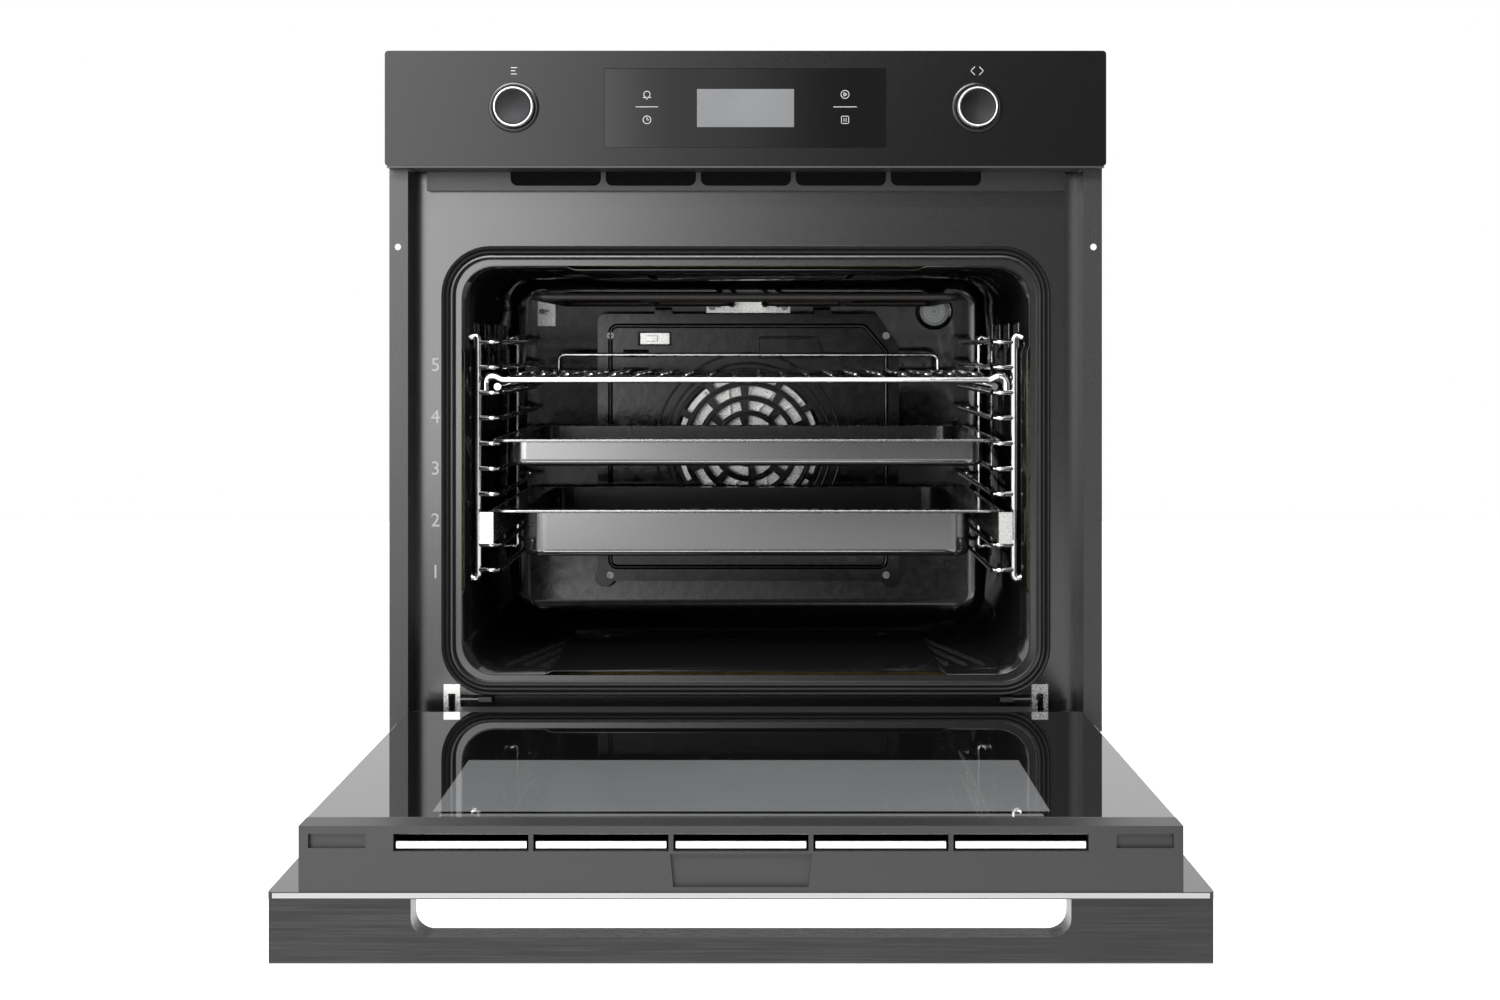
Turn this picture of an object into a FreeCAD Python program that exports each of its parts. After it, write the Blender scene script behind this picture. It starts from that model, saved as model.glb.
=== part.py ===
"""Built-in electric wall oven, 600 mm class, stored with its door open.

Millimetres, +X to the right, +Y to the back, +Z up.  The origin is on the underside of the
base plate, on the middle line, in the plane of the cabinet's front edge.
Each function makes one sub-part, and NODES at the end names the file of each.
"""

import FreeCAD, Part
import math
import os

V = FreeCAD.Vector
X_AXIS, Y_AXIS, Z_AXIS = V(1, 0, 0), V(0, 1, 0), V(0, 0, 1)

# ---- driving dimensions: the outside ---------------------------------------
WIDTH = 595.0            # fascia, door glass and handle
HEIGHT = 595.0           # underside of the base plate to the fascia's top edge
BODY_DEPTH = 545.0       # cabinet front plane to the rear cover
OVERLAP = 19.5           # the front is this much wider than the carcass, on each side
FRONT_Y = -22.0          # front face of the fascia and of the closed door
FASCIA_HEIGHT = 95.0
PANEL_GAP = 3.0          # between the fascia and the closed door
SHEET = 1.0              # galvanised casing sheet
ENAMEL_SHEET = 1.0       # enamelled steel sheet
TOP_ROOM = 5.0           # casing top below the fascia's top edge
FLANGE = 14.0            # folded edges of the casing sides

# ---- driving dimensions: door and its hinges ---------------------------------
DOOR_THICKNESS = 46.0
OUTER_GLASS, INNER_GLASS, MIDDLE_GLASS = 4.5, 4.0, 3.5
GLASS_SPACE = 3.5        # air gap between the inner and the middle pane
DOOR_LOW = 17.0          # lower edge of the closed door
EDGE_R = 3.0             # corner radius of the fascia and of the panes
RAIL_WIDTH = 14.0
DOOR_WALL = 1.5          # sheet of the rails inside the door
TOP_STRIP_HEIGHT = 27.0
TOP_STRIP_WALL = 2.0
TOP_STRIP_FACE = 7.0     # thickness of the strip's end wall, where the pocket is
TOP_STRIP_GAP = 0.5      # strip below the edge of the outer glass
TOP_SLOTS = 5
SLOT_ROOM = 10.0         # outer slots to the ends of the strip
SLOT_BAR = 3.0           # between two slots
SLOT_HIGH, SLOT_LOW = 5.0, 16.0   # slot edges behind the door's inner face
POCKET_HALF, POCKET_TAPER, POCKET_DEPTH = 44.5, 2.0, 4.0
POCKET_HIGH, POCKET_LOW = 17.8, 38.5
CAP_WIDTH = 48.0
CAP_SLOT, CAP_SLOT_INSET = 9.0, 6.0
HANDLE_PROJECTION = 42.0
HANDLE_HEIGHT = 24.0
HANDLE_POST = 89.5       # solid end of the handle, beside its window
HANDLE_WINDOW_R, HANDLE_EDGE_R = 12.0, 2.0
HANDLE_DROP = 4.0        # handle below the edge of the outer glass
HANDLE_GRIP = 17.0
HANDLE_SCREW_ROOM = 32.5 # screw to the end of the handle
HANDLE_SCREW_R, HANDLE_SCREW_DEPTH, SCREW_HEAD = 2.5, 18.0, 1.6
HEAD_RATIO = 1.8         # screw head to screw, by radius
HINGE_INSET = 48.5       # middle plane of each hinge inside the edge of the front
HINGE_BACK, HINGE_Z = 20.0, 24.0
ARM_T, ARM_CLEAR, ARM_R = 5.0, 0.5, 7.0
HOOK_ROOM, HOOK_LENGTH, HOOK_HEIGHT = 10.0, 14.0, 16.0
PIN_R = 3.0
CHANNEL_HALF, CHANNEL_SHEET, CHANNEL_TOP, CHANNEL_GAP = 9.0, 1.5, 230.0, 1.0
PLATE_HALF, PLATE_SHEET = 7.0, 1.5
PLATE_DROP, PLATE_RISE, PLATE_DEPTH = 14.0, 41.0, 65.0
LEVER_RISE, LEVER_R, LEVER_PAD, LEVER_GAP = 28.5, 1.5, 2.0, 1.2
LEVER_STEM, LEVER_REACH, LEVER_ROOM = 16.0, 26.0, 1.0
GLASS_RISE = 14.0        # inner panes above the hinge arm
SEAL_CLEAR = 0.3         # closed door to seal

# ---- driving dimensions: front frame and cavity ------------------------------
TRIM_FACE = 14.0         # visible width of a side trim
TRIM_INSET = 0.5         # side trim inside the fascia's end
TRIM_SHEET = 1.5
TRIM_GAP = 0.3           # side trim below the fascia
TRIM_HOLE_R, TRIM_HOLE_DROP = 2.75, 66.0
FRAME_GAP = 7.0          # closed door to the frame's raised plateau
FRAME_STEP = 8.0         # the rest of the frame lies this much further back
PLATEAU_BORDER, PLATEAU_BELOW, PLATEAU_ABOVE, PLATEAU_R = 30.0, 17.5, 51.0, 8.0
SIDE_ROOM = 38.0         # cavity to the carcass side
ROOF_ROOM = 81.5         # cavity roof to the fascia's lower edge
BACK_ROOM = 102.0        # cavity back to the rear cover
CAVITY_FLOOR = 73.5      # height of the cavity floor
CAVITY_RADIUS = 27.0
BACK_ROUND = 10.0        # rounding between the cavity's walls and its back
SEAL_WIDTH, SEAL_FOOT, SEAL_LIP = 12.0, 3.0, 3.0
SEAL_GAP = 6.0           # enamelled rim left bare inside the seal
INSULATION = 20.0
WOOL_GAP = 0.5           # insulation to the liner
WOOL_FRONT = 26.0        # insulation behind the frame
FIT = 0.1                # gap round a sheet edge that passes through another sheet

# ---- driving dimensions: racks and runners -------------------------------------
RUNG_COUNT = 10
RUNG_DROP, RUNG_RISE = 63.6, 84.3   # highest rung below the roof, lowest above the floor
RUNG_R = 2.25
RUNG_INSET, UPRIGHT_INSET = 27.0, 8.0   # inside the cavity's side
UPRIGHT_R, UPRIGHT_END = 3.0, 12.0
STUD_R, STUD_HIGH, STUD_LOW = 4.0, 8.0, 6.0
LADDER_ROOM = 44.0       # front upright behind the frame
LADDER_TO_COVER = 24.0   # rear upright to the fan cover
RUNG_OVERHANG = 15.0
RUNNER_RUNG = 7          # the rung that the runners stand in for, counted from the top
RACK_RUNG, TRAY_RUNG = 2, 4
REST_GAP = 0.3           # a shelf above what it lies on
SHELF_ROOM, SHELF_TO_COVER = 19.0, 14.0
RACK_WIRES, RACK_EDGE = 20, 10.0
RACK_WIRE_R, RACK_BAR_R, RACK_GUARD_R = 1.5, 3.0, 2.0
RACK_HOOK, GUARD_INSET, GUARD_RISE = 13.0, 22.0, 14.0
TRAY_DEPTH, PAN_DEPTH = 22.0, 40.0
TRAY_INSET, PAN_INSET, RIM_OUTSET = 8.0, 18.0, 6.0   # from the rungs
TRAY_SHEET, TRAY_R, PAN_R, PAN_BOTTOM_R = 1.0, 16.0, 22.0, 6.0
RAIL_T, MIDDLE_T, SLIDER_T = 2.0, 3.5, 5.5
RAIL_LIP, RAIL_LIP_T, MIDDLE_LIP = 1.0, 1.2, 1.8
RUNNER_GAP = 0.4
RUNNER_ROOM, RUNNER_TO_COVER = 5.0, 4.0   # runner behind a shelf's front and before the cover
SLIDER_RISE, SLIDER_CROWN = 7.4, 5.0   # top above the missing rung, and above the rail
SLIDER_STOP = 1.6        # thickness of the stop plate

# ---- driving dimensions: fan, heat and light -------------------------------------
FAN_OFFSET = 4.0         # fan above the middle of the cavity
FAN_BLADES = 16
FAN_ROOM = 24.0          # cover plate stands this far off the back wall
FAN_HUB_R, BLADE_T, BLADE_TURN = 11.0, 1.0, 18.0
COVER_INSET, COVER_BELOW, COVER_ABOVE = 87.0, 39.5, 34.5
COVER_SHEET, COVER_R = 1.2, 9.0
COVER_CUT_X, COVER_CUT_Z = 23.0, 32.0   # slanted upper right corner
RING_ROOM = 39.5         # heating ring to the nearer edge of the cover
RING_TO_FAN, RING_TO_GRILLE = 24.0, 12.0
RING_TUBE_R, RING_LEG = 3.5, 12.0
GRILLE_SLOTS = ((0.31, 6, 0.72), (0.488, 8, 0.76), (0.667, 10, 0.78), (0.845, 12, 0.8))
GRILLE_SLOT_HALF = 0.0536   # both as shares of the grille's radius
SHAFT_R, SHAFT_FIT = 4.0, 0.05
ROD_R, ROD_END = 3.25, 14.0
GRILL_DROP = 24.0        # grill rods below the cavity roof
GRILL_INSET, GRILL_INNER = 55.0, 95.0
GRILL_LEGS = (-30.5, -16.8, 16.8, 30.5)
GRILL_PLATE_HALF, GRILL_PLATE_RISE, GRILL_PLATE_T = 43.0, 9.0, 1.5
PLATE_SCREW_X, PLATE_SCREW_DROP = 37.0, 3.0
LOWER_DROP, LOWER_INSET, LOWER_ROOM = 6.0, 60.0, 25.0
SCREW_R, SCREW_HEAD_R, SCREW_HEAD_T = 2.0, 3.6, 2.2
LAMP_INSET, LAMP_DROP, LAMP_R, LAMP_WALL = 50.0, 31.5, 19.0, 1.8
LAMP_DEPTH, BULB_R = 30.0, 8.5
PROBE_INSET, PROBE_DROP, PROBE_R, PROBE_REACH = 33.0, 32.5, 2.5, 55.0
DUCT_INSET, DUCT_RISE, DUCT_SHORT = 40.0, 8.0, 113.0
OUTLET_INSET, OUTLET_SLOTS, OUTLET_HEIGHT = 69.0, 5, 16.0
COOLER_R, COOLER_FROM_END, COOLER_BLADES = 52.0, 80.0, 18
COOLER_RISE, COOLER_WHEEL, MOTOR_RISE = 6.0, 30.0, 46.0
CABLE_INSET, CABLE_DROP = 78.0, 55.0
GLAND_THREAD_R, GLAND_R, GLAND_BORE_R = 10.0, 13.0, 5.0

# ---- driving dimensions: controls ---------------------------------------------------
KNOB_INSET, KNOB_DROP = 106.5, 46.7
KNOB_R, KNOB_WALL, BEZEL_WALL = 16.5, 1.6, 4.5
KNOB_PROUD = 9.0
KNOB_TRAVEL = 3.0
KNOB_BACK, KNOB_WEB = 2.5, 2.0
KNOB_SHAFT_R, SHAFT_FLAT, BOSS_R = 3.0, 1.0, 6.5
BEZEL_PROUD, BEZEL_DEPTH = 1.5, 8.0
GLASS_INSET, GLASS_TOP, GLASS_BOTTOM, GLASS_FIT = 181.0, 14.6, 80.0, 0.3
LCD_HALF, LCD_TOP, LCD_BOTTOM = 40.0, 31.6, 63.0
FASCIA_WALL = 3.0
BOARD_BACK, BOARD_T, ENCODER = 30.0, 1.6, 7.0

# ---- places that follow from them -----------------------------------------------------
HALF = WIDTH / 2
BODY_HALF = HALF - OVERLAP
FASCIA_LOW = HEIGHT - FASCIA_HEIGHT
BODY_TOP = HEIGHT - TOP_ROOM
DOOR_HIGH = FASCIA_LOW - PANEL_GAP
DOOR_FACE = FRONT_Y
DOOR_INSIDE = FRONT_Y + DOOR_THICKNESS
DOOR_HALF = BODY_HALF
DOOR_GAP = (DOOR_FACE + OUTER_GLASS, DOOR_INSIDE - INNER_GLASS)
STRIP_LOW, STRIP_HIGH = DOOR_HIGH - TOP_STRIP_HEIGHT, DOOR_HIGH - TOP_STRIP_GAP
STRIP_HALF = DOOR_HALF - CAP_WIDTH
SLOT_REACH = STRIP_HALF - SLOT_ROOM
HANDLE_HIGH = DOOR_HIGH - HANDLE_DROP
HANDLE_SCREWS = (-HALF + HANDLE_SCREW_ROOM, HALF - HANDLE_SCREW_ROOM)
SEAL_FRONT = DOOR_INSIDE + SEAL_CLEAR
FRAME_Y = DOOR_INSIDE + FRAME_GAP
FRAME_BACK_Y = FRAME_Y + FRAME_STEP
TRIM_OUT = HALF - TRIM_INSET
TRIM_IN = TRIM_OUT - TRIM_FACE
SCREW_X = TRIM_IN + TRIM_FACE / 2
SCREW_Z = FASCIA_LOW - TRIM_HOLE_DROP
CAVITY_HALF = BODY_HALF - SIDE_ROOM
CAVITY_ROOF = FASCIA_LOW - ROOF_ROOM
CAVITY_BACK = BODY_DEPTH - BACK_ROOM
PLATEAU_HALF = CAVITY_HALF + PLATEAU_BORDER
PLATEAU_LOW, PLATEAU_HIGH = CAVITY_FLOOR - PLATEAU_BELOW, CAVITY_ROOF + PLATEAU_ABOVE
HINGE_X, HINGE_Y = HALF - HINGE_INSET, FRONT_Y + HINGE_BACK
ARM_LOW, ARM_HIGH = HINGE_Z - ARM_R, HINGE_Z + ARM_R
PLATE_LOW, PLATE_HIGH = HINGE_Z - PLATE_DROP, HINGE_Z + PLATE_RISE
PLATE_BACK = FRAME_Y + PLATE_DEPTH
LEVER_Y, LEVER_Z = SEAL_FRONT + LEVER_R + LEVER_GAP, HINGE_Z + LEVER_RISE
BETWEEN_HINGES = HINGE_X - CHANNEL_HALF - CHANNEL_GAP
INNER_LOW = ARM_HIGH + GLASS_RISE
COVER_Y = CAVITY_BACK - FAN_ROOM
COVER_HALF = CAVITY_HALF - COVER_INSET
COVER_LOW, COVER_HIGH = CAVITY_FLOOR + COVER_BELOW, CAVITY_ROOF - COVER_ABOVE
COVER_SCREWS = [(x, z) for x in (13 - COVER_HALF, COVER_HALF - 13) for z in (COVER_LOW + 6, COVER_HIGH - 22)]
FAN_Y = CAVITY_BACK - FAN_ROOM / 2 + 1.0
FAN_Z = (CAVITY_FLOOR + CAVITY_ROOF) / 2 + FAN_OFFSET
RING_R = min(COVER_HALF, (COVER_HIGH - COVER_LOW) / 2) - RING_ROOM
RING_LEG_Z = FAN_Z + math.sqrt(RING_R ** 2 - RING_LEG ** 2)
FAN_R, GRILLE_R = RING_R - RING_TO_FAN, RING_R - RING_TO_GRILLE
GRILL_Z = CAVITY_ROOF - GRILL_DROP
PLATE_SCREWS = [(side * PLATE_SCREW_X, GRILL_Z - PLATE_SCREW_DROP) for side in (-1, 1)]
LOWER_Z = CAVITY_FLOOR - ENAMEL_SHEET - LOWER_DROP
LAMP_X, LAMP_Z = CAVITY_HALF - LAMP_INSET, CAVITY_ROOF - LAMP_DROP
PROBE_X, PROBE_Z = PROBE_INSET - CAVITY_HALF, CAVITY_ROOF - PROBE_DROP
MOTOR_Y = CAVITY_BACK + ENAMEL_SHEET + INSULATION
DUCT_LOW = CAVITY_ROOF + ENAMEL_SHEET + INSULATION + DUCT_RISE
DUCT_HIGH = FASCIA_LOW
DUCT_HALF, DUCT_BACK = CAVITY_HALF - DUCT_INSET, CAVITY_BACK - DUCT_SHORT
OUTLET_HALF = PLATEAU_HALF - OUTLET_INSET
COOLER_Y = DUCT_BACK - COOLER_FROM_END
CABLE_X, CABLE_Z = CABLE_INSET - BODY_HALF, HEIGHT - CABLE_DROP
RUNG_X, UPRIGHT_X = CAVITY_HALF - RUNG_INSET, CAVITY_HALF - UPRIGHT_INSET
RUNG_TOP = CAVITY_ROOF - RUNG_DROP
RUNG_PITCH = (RUNG_TOP - CAVITY_FLOOR - RUNG_RISE) / (RUNG_COUNT - 1)
LADDER_FRONT, LADDER_BACK = FRAME_Y + LADDER_ROOM, COVER_Y - LADDER_TO_COVER
SHELF_FRONT, SHELF_BACK = FRAME_Y + SHELF_ROOM, COVER_Y - SHELF_TO_COVER
RUNG_Z = [RUNG_TOP - RUNG_PITCH * level for level in range(RUNG_COUNT)]
RACK_Z = RUNG_Z[RACK_RUNG] + RUNG_R + REST_GAP + RACK_BAR_R
RIM_HALF = RUNG_X + RIM_OUTSET
RAIL_OUT = UPRIGHT_X - UPRIGHT_R - 0.5
RAIL_IN = RAIL_OUT - RAIL_T
MIDDLE_OUT = RAIL_IN - RUNNER_GAP
MIDDLE_IN = MIDDLE_OUT - MIDDLE_T
SLIDER_OUT = MIDDLE_IN - RUNNER_GAP
SLIDER_IN = SLIDER_OUT - SLIDER_T
SLIDER_TOP = RUNG_Z[RUNNER_RUNG] + SLIDER_RISE
RUNNER_LOW = RUNG_Z[RUNNER_RUNG + 1] + RUNG_R + 1.0
RUNNER_HIGH = SLIDER_TOP - SLIDER_CROWN
RUNNER_FRONT, RUNNER_BACK = SHELF_FRONT + RUNNER_ROOM, COVER_Y - RUNNER_TO_COVER
KNOB_X, KNOB_Z = HALF - KNOB_INSET, HEIGHT - KNOB_DROP
KNOB_CAP_R, BEZEL_R = KNOB_R - KNOB_WALL, KNOB_R + BEZEL_WALL
KNOB_FRONT = FRONT_Y - KNOB_PROUD
GLASS_HALF = HALF - GLASS_INSET
GLASS_LOW, GLASS_HIGH = HEIGHT - GLASS_BOTTOM, HEIGHT - GLASS_TOP
LCD_LOW, LCD_HIGH = HEIGHT - LCD_BOTTOM, HEIGHT - LCD_TOP
BOARD_Y = FRONT_Y + BOARD_BACK


# ---- helpers ----------------------------------------------------------------------------
def box(x0, x1, y0, y1, z0, z1):
    return Part.makeBox(x1 - x0, y1 - y0, z1 - z0, V(x0, y0, z0))


def rod(start, end, radius):
    """Cylinder from one point to another."""
    a, b = V(*start), V(*end)
    return Part.makeCylinder(radius, (b - a).Length, a, b - a)


def tube(start, end, radius, bore):
    return rod(start, end, radius).cut(rod(start, end, bore))


def union(shapes):
    shapes = list(shapes)
    return shapes[0].fuse(shapes[1:]).removeSplitter() if len(shapes) > 1 else shapes[0]


def cut(shape, tools):
    return shape.cut(list(tools))


def pair(make):
    """Left and right copies of a piece, made by make(side)."""
    return Part.makeCompound([make(-1), make(1)])


def span(side, inner, outer):
    """The x range between two distances from the middle, on one side."""
    return (side * outer, side * inner) if side < 0 else (inner, outer)


def rounded(x0, x1, z0, z1, radius, y0, y1):
    """Block along Y whose XZ outline is a rounded rectangle."""
    block = box(x0, x1, y0, y1, z0, z1)
    return block.makeFillet(radius, [e for e in block.Edges if abs(e.tangentAt(e.FirstParameter).y) > 0.99])


def rounded_flat(x0, x1, y0, y1, radius, z0, z1):
    """Block along Z whose XY outline is a rounded rectangle."""
    block = box(x0, x1, y0, y1, z0, z1)
    return block.makeFillet(radius, [e for e in block.Edges if abs(e.tangentAt(e.FirstParameter).z) > 0.99])


def opened(shape):
    """Turns a door piece from the closed place, where it is drawn, to the open place."""
    turned = shape.copy()
    turned.rotate(V(0, HINGE_Y, HINGE_Z), X_AXIS, 90)
    return turned


# ---- casing ---------------------------------------------------------------------------------
def base_plate():
    plate = box(-BODY_HALF, BODY_HALF, -2, BODY_DEPTH, 0, SHEET)
    rows = [BODY_DEPTH - drop for drop in (105, 90, 75)]
    slots = [box(x - 40, x + 40, y, y + 6, -1, SHEET + 1) for x in (-150, 0, 150) for y in rows]
    return cut(plate, slots)


def side_panel(side):
    """Flat casing side with a narrow flange at the top and at the back."""
    x0, x1 = span(side, BODY_HALF - SHEET, BODY_HALF)
    f0, f1 = span(side, BODY_HALF - FLANGE, BODY_HALF - SHEET / 2)
    back = BODY_DEPTH - SHEET
    skin = box(x0, x1, FRAME_BACK_Y + SHEET, back, SHEET, BODY_TOP - SHEET)
    head = box(x0, x1, 0, back, FASCIA_LOW, BODY_TOP - SHEET)
    top = box(f0, f1, FRAME_BACK_Y + SHEET, back, BODY_TOP - 2 * SHEET, BODY_TOP - SHEET)
    rear = box(f0, f1, back - SHEET, back, SHEET, BODY_TOP - SHEET)
    bead_x = side * (BODY_HALF + 3.2)
    levels = [HEIGHT * share for share in (0.25, 0.49, 0.72)]
    beads = [rod((bead_x, 90, z), (bead_x, back - 45, z), 4) for z in levels]
    return cut(union([skin, head, top, rear]), beads)


def side_panels():
    return pair(side_panel)


def top_cover():
    cover = box(-BODY_HALF, BODY_HALF, 0, BODY_DEPTH, BODY_TOP - SHEET, BODY_TOP)
    y0, y1 = BODY_DEPTH - 185, BODY_DEPTH - 125
    slots = [box(x - 3, x + 3, y0, y1, BODY_TOP - 3, BODY_TOP + 1) for x in range(-90, 91, 15)]
    return cut(cover, slots)


def rear_cover():
    cover = box(-BODY_HALF, BODY_HALF, BODY_DEPTH - SHEET, BODY_DEPTH, SHEET, BODY_TOP - SHEET)
    louvres = [box(x - 30, x + 30, BODY_DEPTH - 3, BODY_DEPTH + 1, z, z + 5)
               for x in (-60, 60) for z in range(190, 320, 14)]
    gland = rod((CABLE_X, BODY_DEPTH - 5, CABLE_Z), (CABLE_X, BODY_DEPTH + 5, CABLE_Z), GLAND_THREAD_R + 0.2)
    return cut(cover, louvres + [gland])


def cable_gland():
    """Strain relief for the mains cable: threaded body, flange, dome and an open bore."""
    y = BODY_DEPTH
    body = rod((CABLE_X, y - 12, CABLE_Z), (CABLE_X, y + 1, CABLE_Z), GLAND_THREAD_R)
    flange = rod((CABLE_X, y, CABLE_Z), (CABLE_X, y + 4, CABLE_Z), GLAND_R)
    dome = Part.makeCone(GLAND_R - 2, GLAND_R - 5, 11, V(CABLE_X, y + 4, CABLE_Z), Y_AXIS)
    bore = rod((CABLE_X, y - 13, CABLE_Z), (CABLE_X, y + 16, CABLE_Z), GLAND_BORE_R)
    return union([body, flange, dome]).cut(bore)


def terminal_block():
    y = BODY_DEPTH - SHEET - 45
    block = box(CABLE_X - 32, CABLE_X + 32, y, y + 22, CABLE_Z - 46, CABLE_Z - 20)
    row = CABLE_Z - 33
    wells = [rod((CABLE_X + x, y - 1, row), (CABLE_X + x, y + 12, row), 3.5) for x in range(-24, 25, 12)]
    foot = box(CABLE_X - 38, CABLE_X + 38, y + 22, y + 25, CABLE_Z - 50, CABLE_Z - 16)
    return cut(union([block, foot]), wells)


# ---- front frame -------------------------------------------------------------------------------
def hinge_slot(side):
    """Space in the frame for a hinge receptacle."""
    x0, x1 = span(side, HINGE_X - PLATE_HALF - FIT, HINGE_X + PLATE_HALF + FIT)
    return box(x0, x1, FRAME_Y - 5, FRAME_BACK_Y + 60, PLATE_LOW - FIT, PLATE_HIGH + FIT)


def front_frame():
    """Pressed enamelled frame: a raised plateau round the cavity, stepped back to the casing."""
    edge = TRIM_IN - TRIM_SHEET
    flange = box(-edge, edge, FRAME_BACK_Y, FRAME_BACK_Y + ENAMEL_SHEET, SHEET, FASCIA_LOW)
    half = PLATEAU_HALF
    plateau = rounded(-half, half, PLATEAU_LOW, PLATEAU_HIGH, PLATEAU_R, FRAME_Y, FRAME_BACK_Y + ENAMEL_SHEET)
    hollow = rounded(-half + ENAMEL_SHEET, half - ENAMEL_SHEET, PLATEAU_LOW + ENAMEL_SHEET,
                     PLATEAU_HIGH - ENAMEL_SHEET, PLATEAU_R - ENAMEL_SHEET,
                     FRAME_Y + ENAMEL_SHEET, FRAME_BACK_Y + 9)
    wall = ENAMEL_SHEET + FIT
    opening = rounded(-CAVITY_HALF - wall, CAVITY_HALF + wall, CAVITY_FLOOR - wall, CAVITY_ROOF + wall,
                      CAVITY_RADIUS + wall, FRAME_Y - 5, FRAME_BACK_Y + 9)
    slots = [hinge_slot(side) for side in (-1, 1)]
    return cut(union([flange, plateau]), [hollow, opening] + slots)


def side_trim(side):
    """L-section that covers the cabinet's edge, with one fixing hole."""
    low, high = HINGE_Z + 6, FASCIA_LOW - TRIM_GAP
    f0, f1 = span(side, TRIM_IN - TRIM_SHEET, TRIM_OUT)
    r0, r1 = span(side, TRIM_IN - TRIM_SHEET, TRIM_IN)
    face = box(f0, f1, -TRIM_SHEET, 0, low, high)
    turn = box(r0, r1, -TRIM_SHEET, FRAME_BACK_Y, low, high)
    hole = rod((side * SCREW_X, -9, SCREW_Z), (side * SCREW_X, 9, SCREW_Z), TRIM_HOLE_R)
    return union([face, turn]).cut(hole)


def side_trims():
    return pair(side_trim)


def cavity_liner():
    """Enamelled oven chamber, open at the front, with its back corners rounded."""
    def chamber(grow, back):
        block = rounded(-CAVITY_HALF - grow, CAVITY_HALF + grow, CAVITY_FLOOR - grow, CAVITY_ROOF + grow,
                        CAVITY_RADIUS + grow, FRAME_Y, back)
        rear = [e for e in block.Edges if min(v.Y for v in e.Vertexes) > back - 0.01]
        return block.makeFillet(BACK_ROUND + grow, rear)
    shell = chamber(ENAMEL_SHEET, CAVITY_BACK + ENAMEL_SHEET).cut(chamber(0.0, CAVITY_BACK))
    y0, y1 = CAVITY_BACK - 9, CAVITY_BACK + 9
    holes = [rod((0, y0, FAN_Z), (0, y1, FAN_Z), SHAFT_R + 2),
             rod((LAMP_X, y0, LAMP_Z), (LAMP_X, y1, LAMP_Z), LAMP_R - 1.5),
             rod((PROBE_X, y0, PROBE_Z), (PROBE_X, y1, PROBE_Z), 3.5)]
    holes += [rod((x, y0, GRILL_Z), (x, y1, GRILL_Z), ROD_R + 1) for x in GRILL_LEGS]
    z = RING_LEG_Z
    holes += [rod((x, y0, z), (x, y1, z), RING_TUBE_R + 1) for x in (-RING_LEG, RING_LEG)]
    holes += [rod((x, y0, z), (x, y1, z), SCREW_R) for x, z in PLATE_SCREWS]
    return cut(shell, holes)


def cavity_seal():
    """Door gasket: a closed ring that lies on the frame round the opening."""
    def ring(grow, y0, y1):
        reach = SEAL_GAP + grow
        return rounded(-CAVITY_HALF - reach, CAVITY_HALF + reach, CAVITY_FLOOR - reach, CAVITY_ROOF + reach,
                       CAVITY_RADIUS + reach, y0, y1)
    middle = FRAME_Y - SEAL_FOOT
    foot = ring(SEAL_WIDTH, middle, FRAME_Y).cut(ring(0, middle, FRAME_Y))
    lip = ring(SEAL_WIDTH - SEAL_LIP, SEAL_FRONT, middle).cut(ring(SEAL_LIP, SEAL_FRONT, middle))
    return union([foot, lip])


def insulation_blanket():
    """Mineral-wool slabs on the roof, sides, floor and back of the chamber."""
    gap = ENAMEL_SHEET + WOOL_GAP
    x, out = CAVITY_HALF + gap, CAVITY_HALF + gap + INSULATION
    low, high = CAVITY_FLOOR - gap, CAVITY_ROOF + gap
    front, back = FRAME_BACK_Y + WOOL_FRONT, CAVITY_BACK + gap
    slabs = [box(-out, out, front, back, high, high + INSULATION),
             box(-out, out, PLATE_BACK + 3, back, low - INSULATION, low),
             box(-out, -x, front, back, low, high),
             box(x, out, front, back, low, high)]
    rear = box(-out, out, back, back + INSULATION - gap, low - INSULATION, high + INSULATION)
    y0, y1 = back - 9, back + INSULATION + 9
    holes = [rod((0, y0, FAN_Z), (0, y1, FAN_Z), 24),
             rod((LAMP_X, y0, LAMP_Z), (LAMP_X, y1, LAMP_Z), LAMP_R + 3),
             rod((PROBE_X, y0, PROBE_Z), (PROBE_X, y1, PROBE_Z), 5),
             box(-44, 44, y0, y1, GRILL_Z - 8, GRILL_Z + 8)]
    holes += [box(-20, 20, y0, y1, FAN_Z + RING_R - 8, FAN_Z + RING_R + 8)]
    holes += [box(-40, 40, y0, y1, LOWER_Z - 8, LOWER_Z + 8)]
    slabs[1] = slabs[1].cut(lower_space())
    return Part.makeCompound(slabs + [cut(rear, holes)])


def lower_space():
    """Room under the cavity floor for the lower element."""
    reach = CAVITY_HALF - LOWER_INSET + LOWER_ROOM
    return box(-reach, reach, FRAME_Y + 79, CAVITY_BACK + 30, LOWER_Z - 5, CAVITY_FLOOR)


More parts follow.
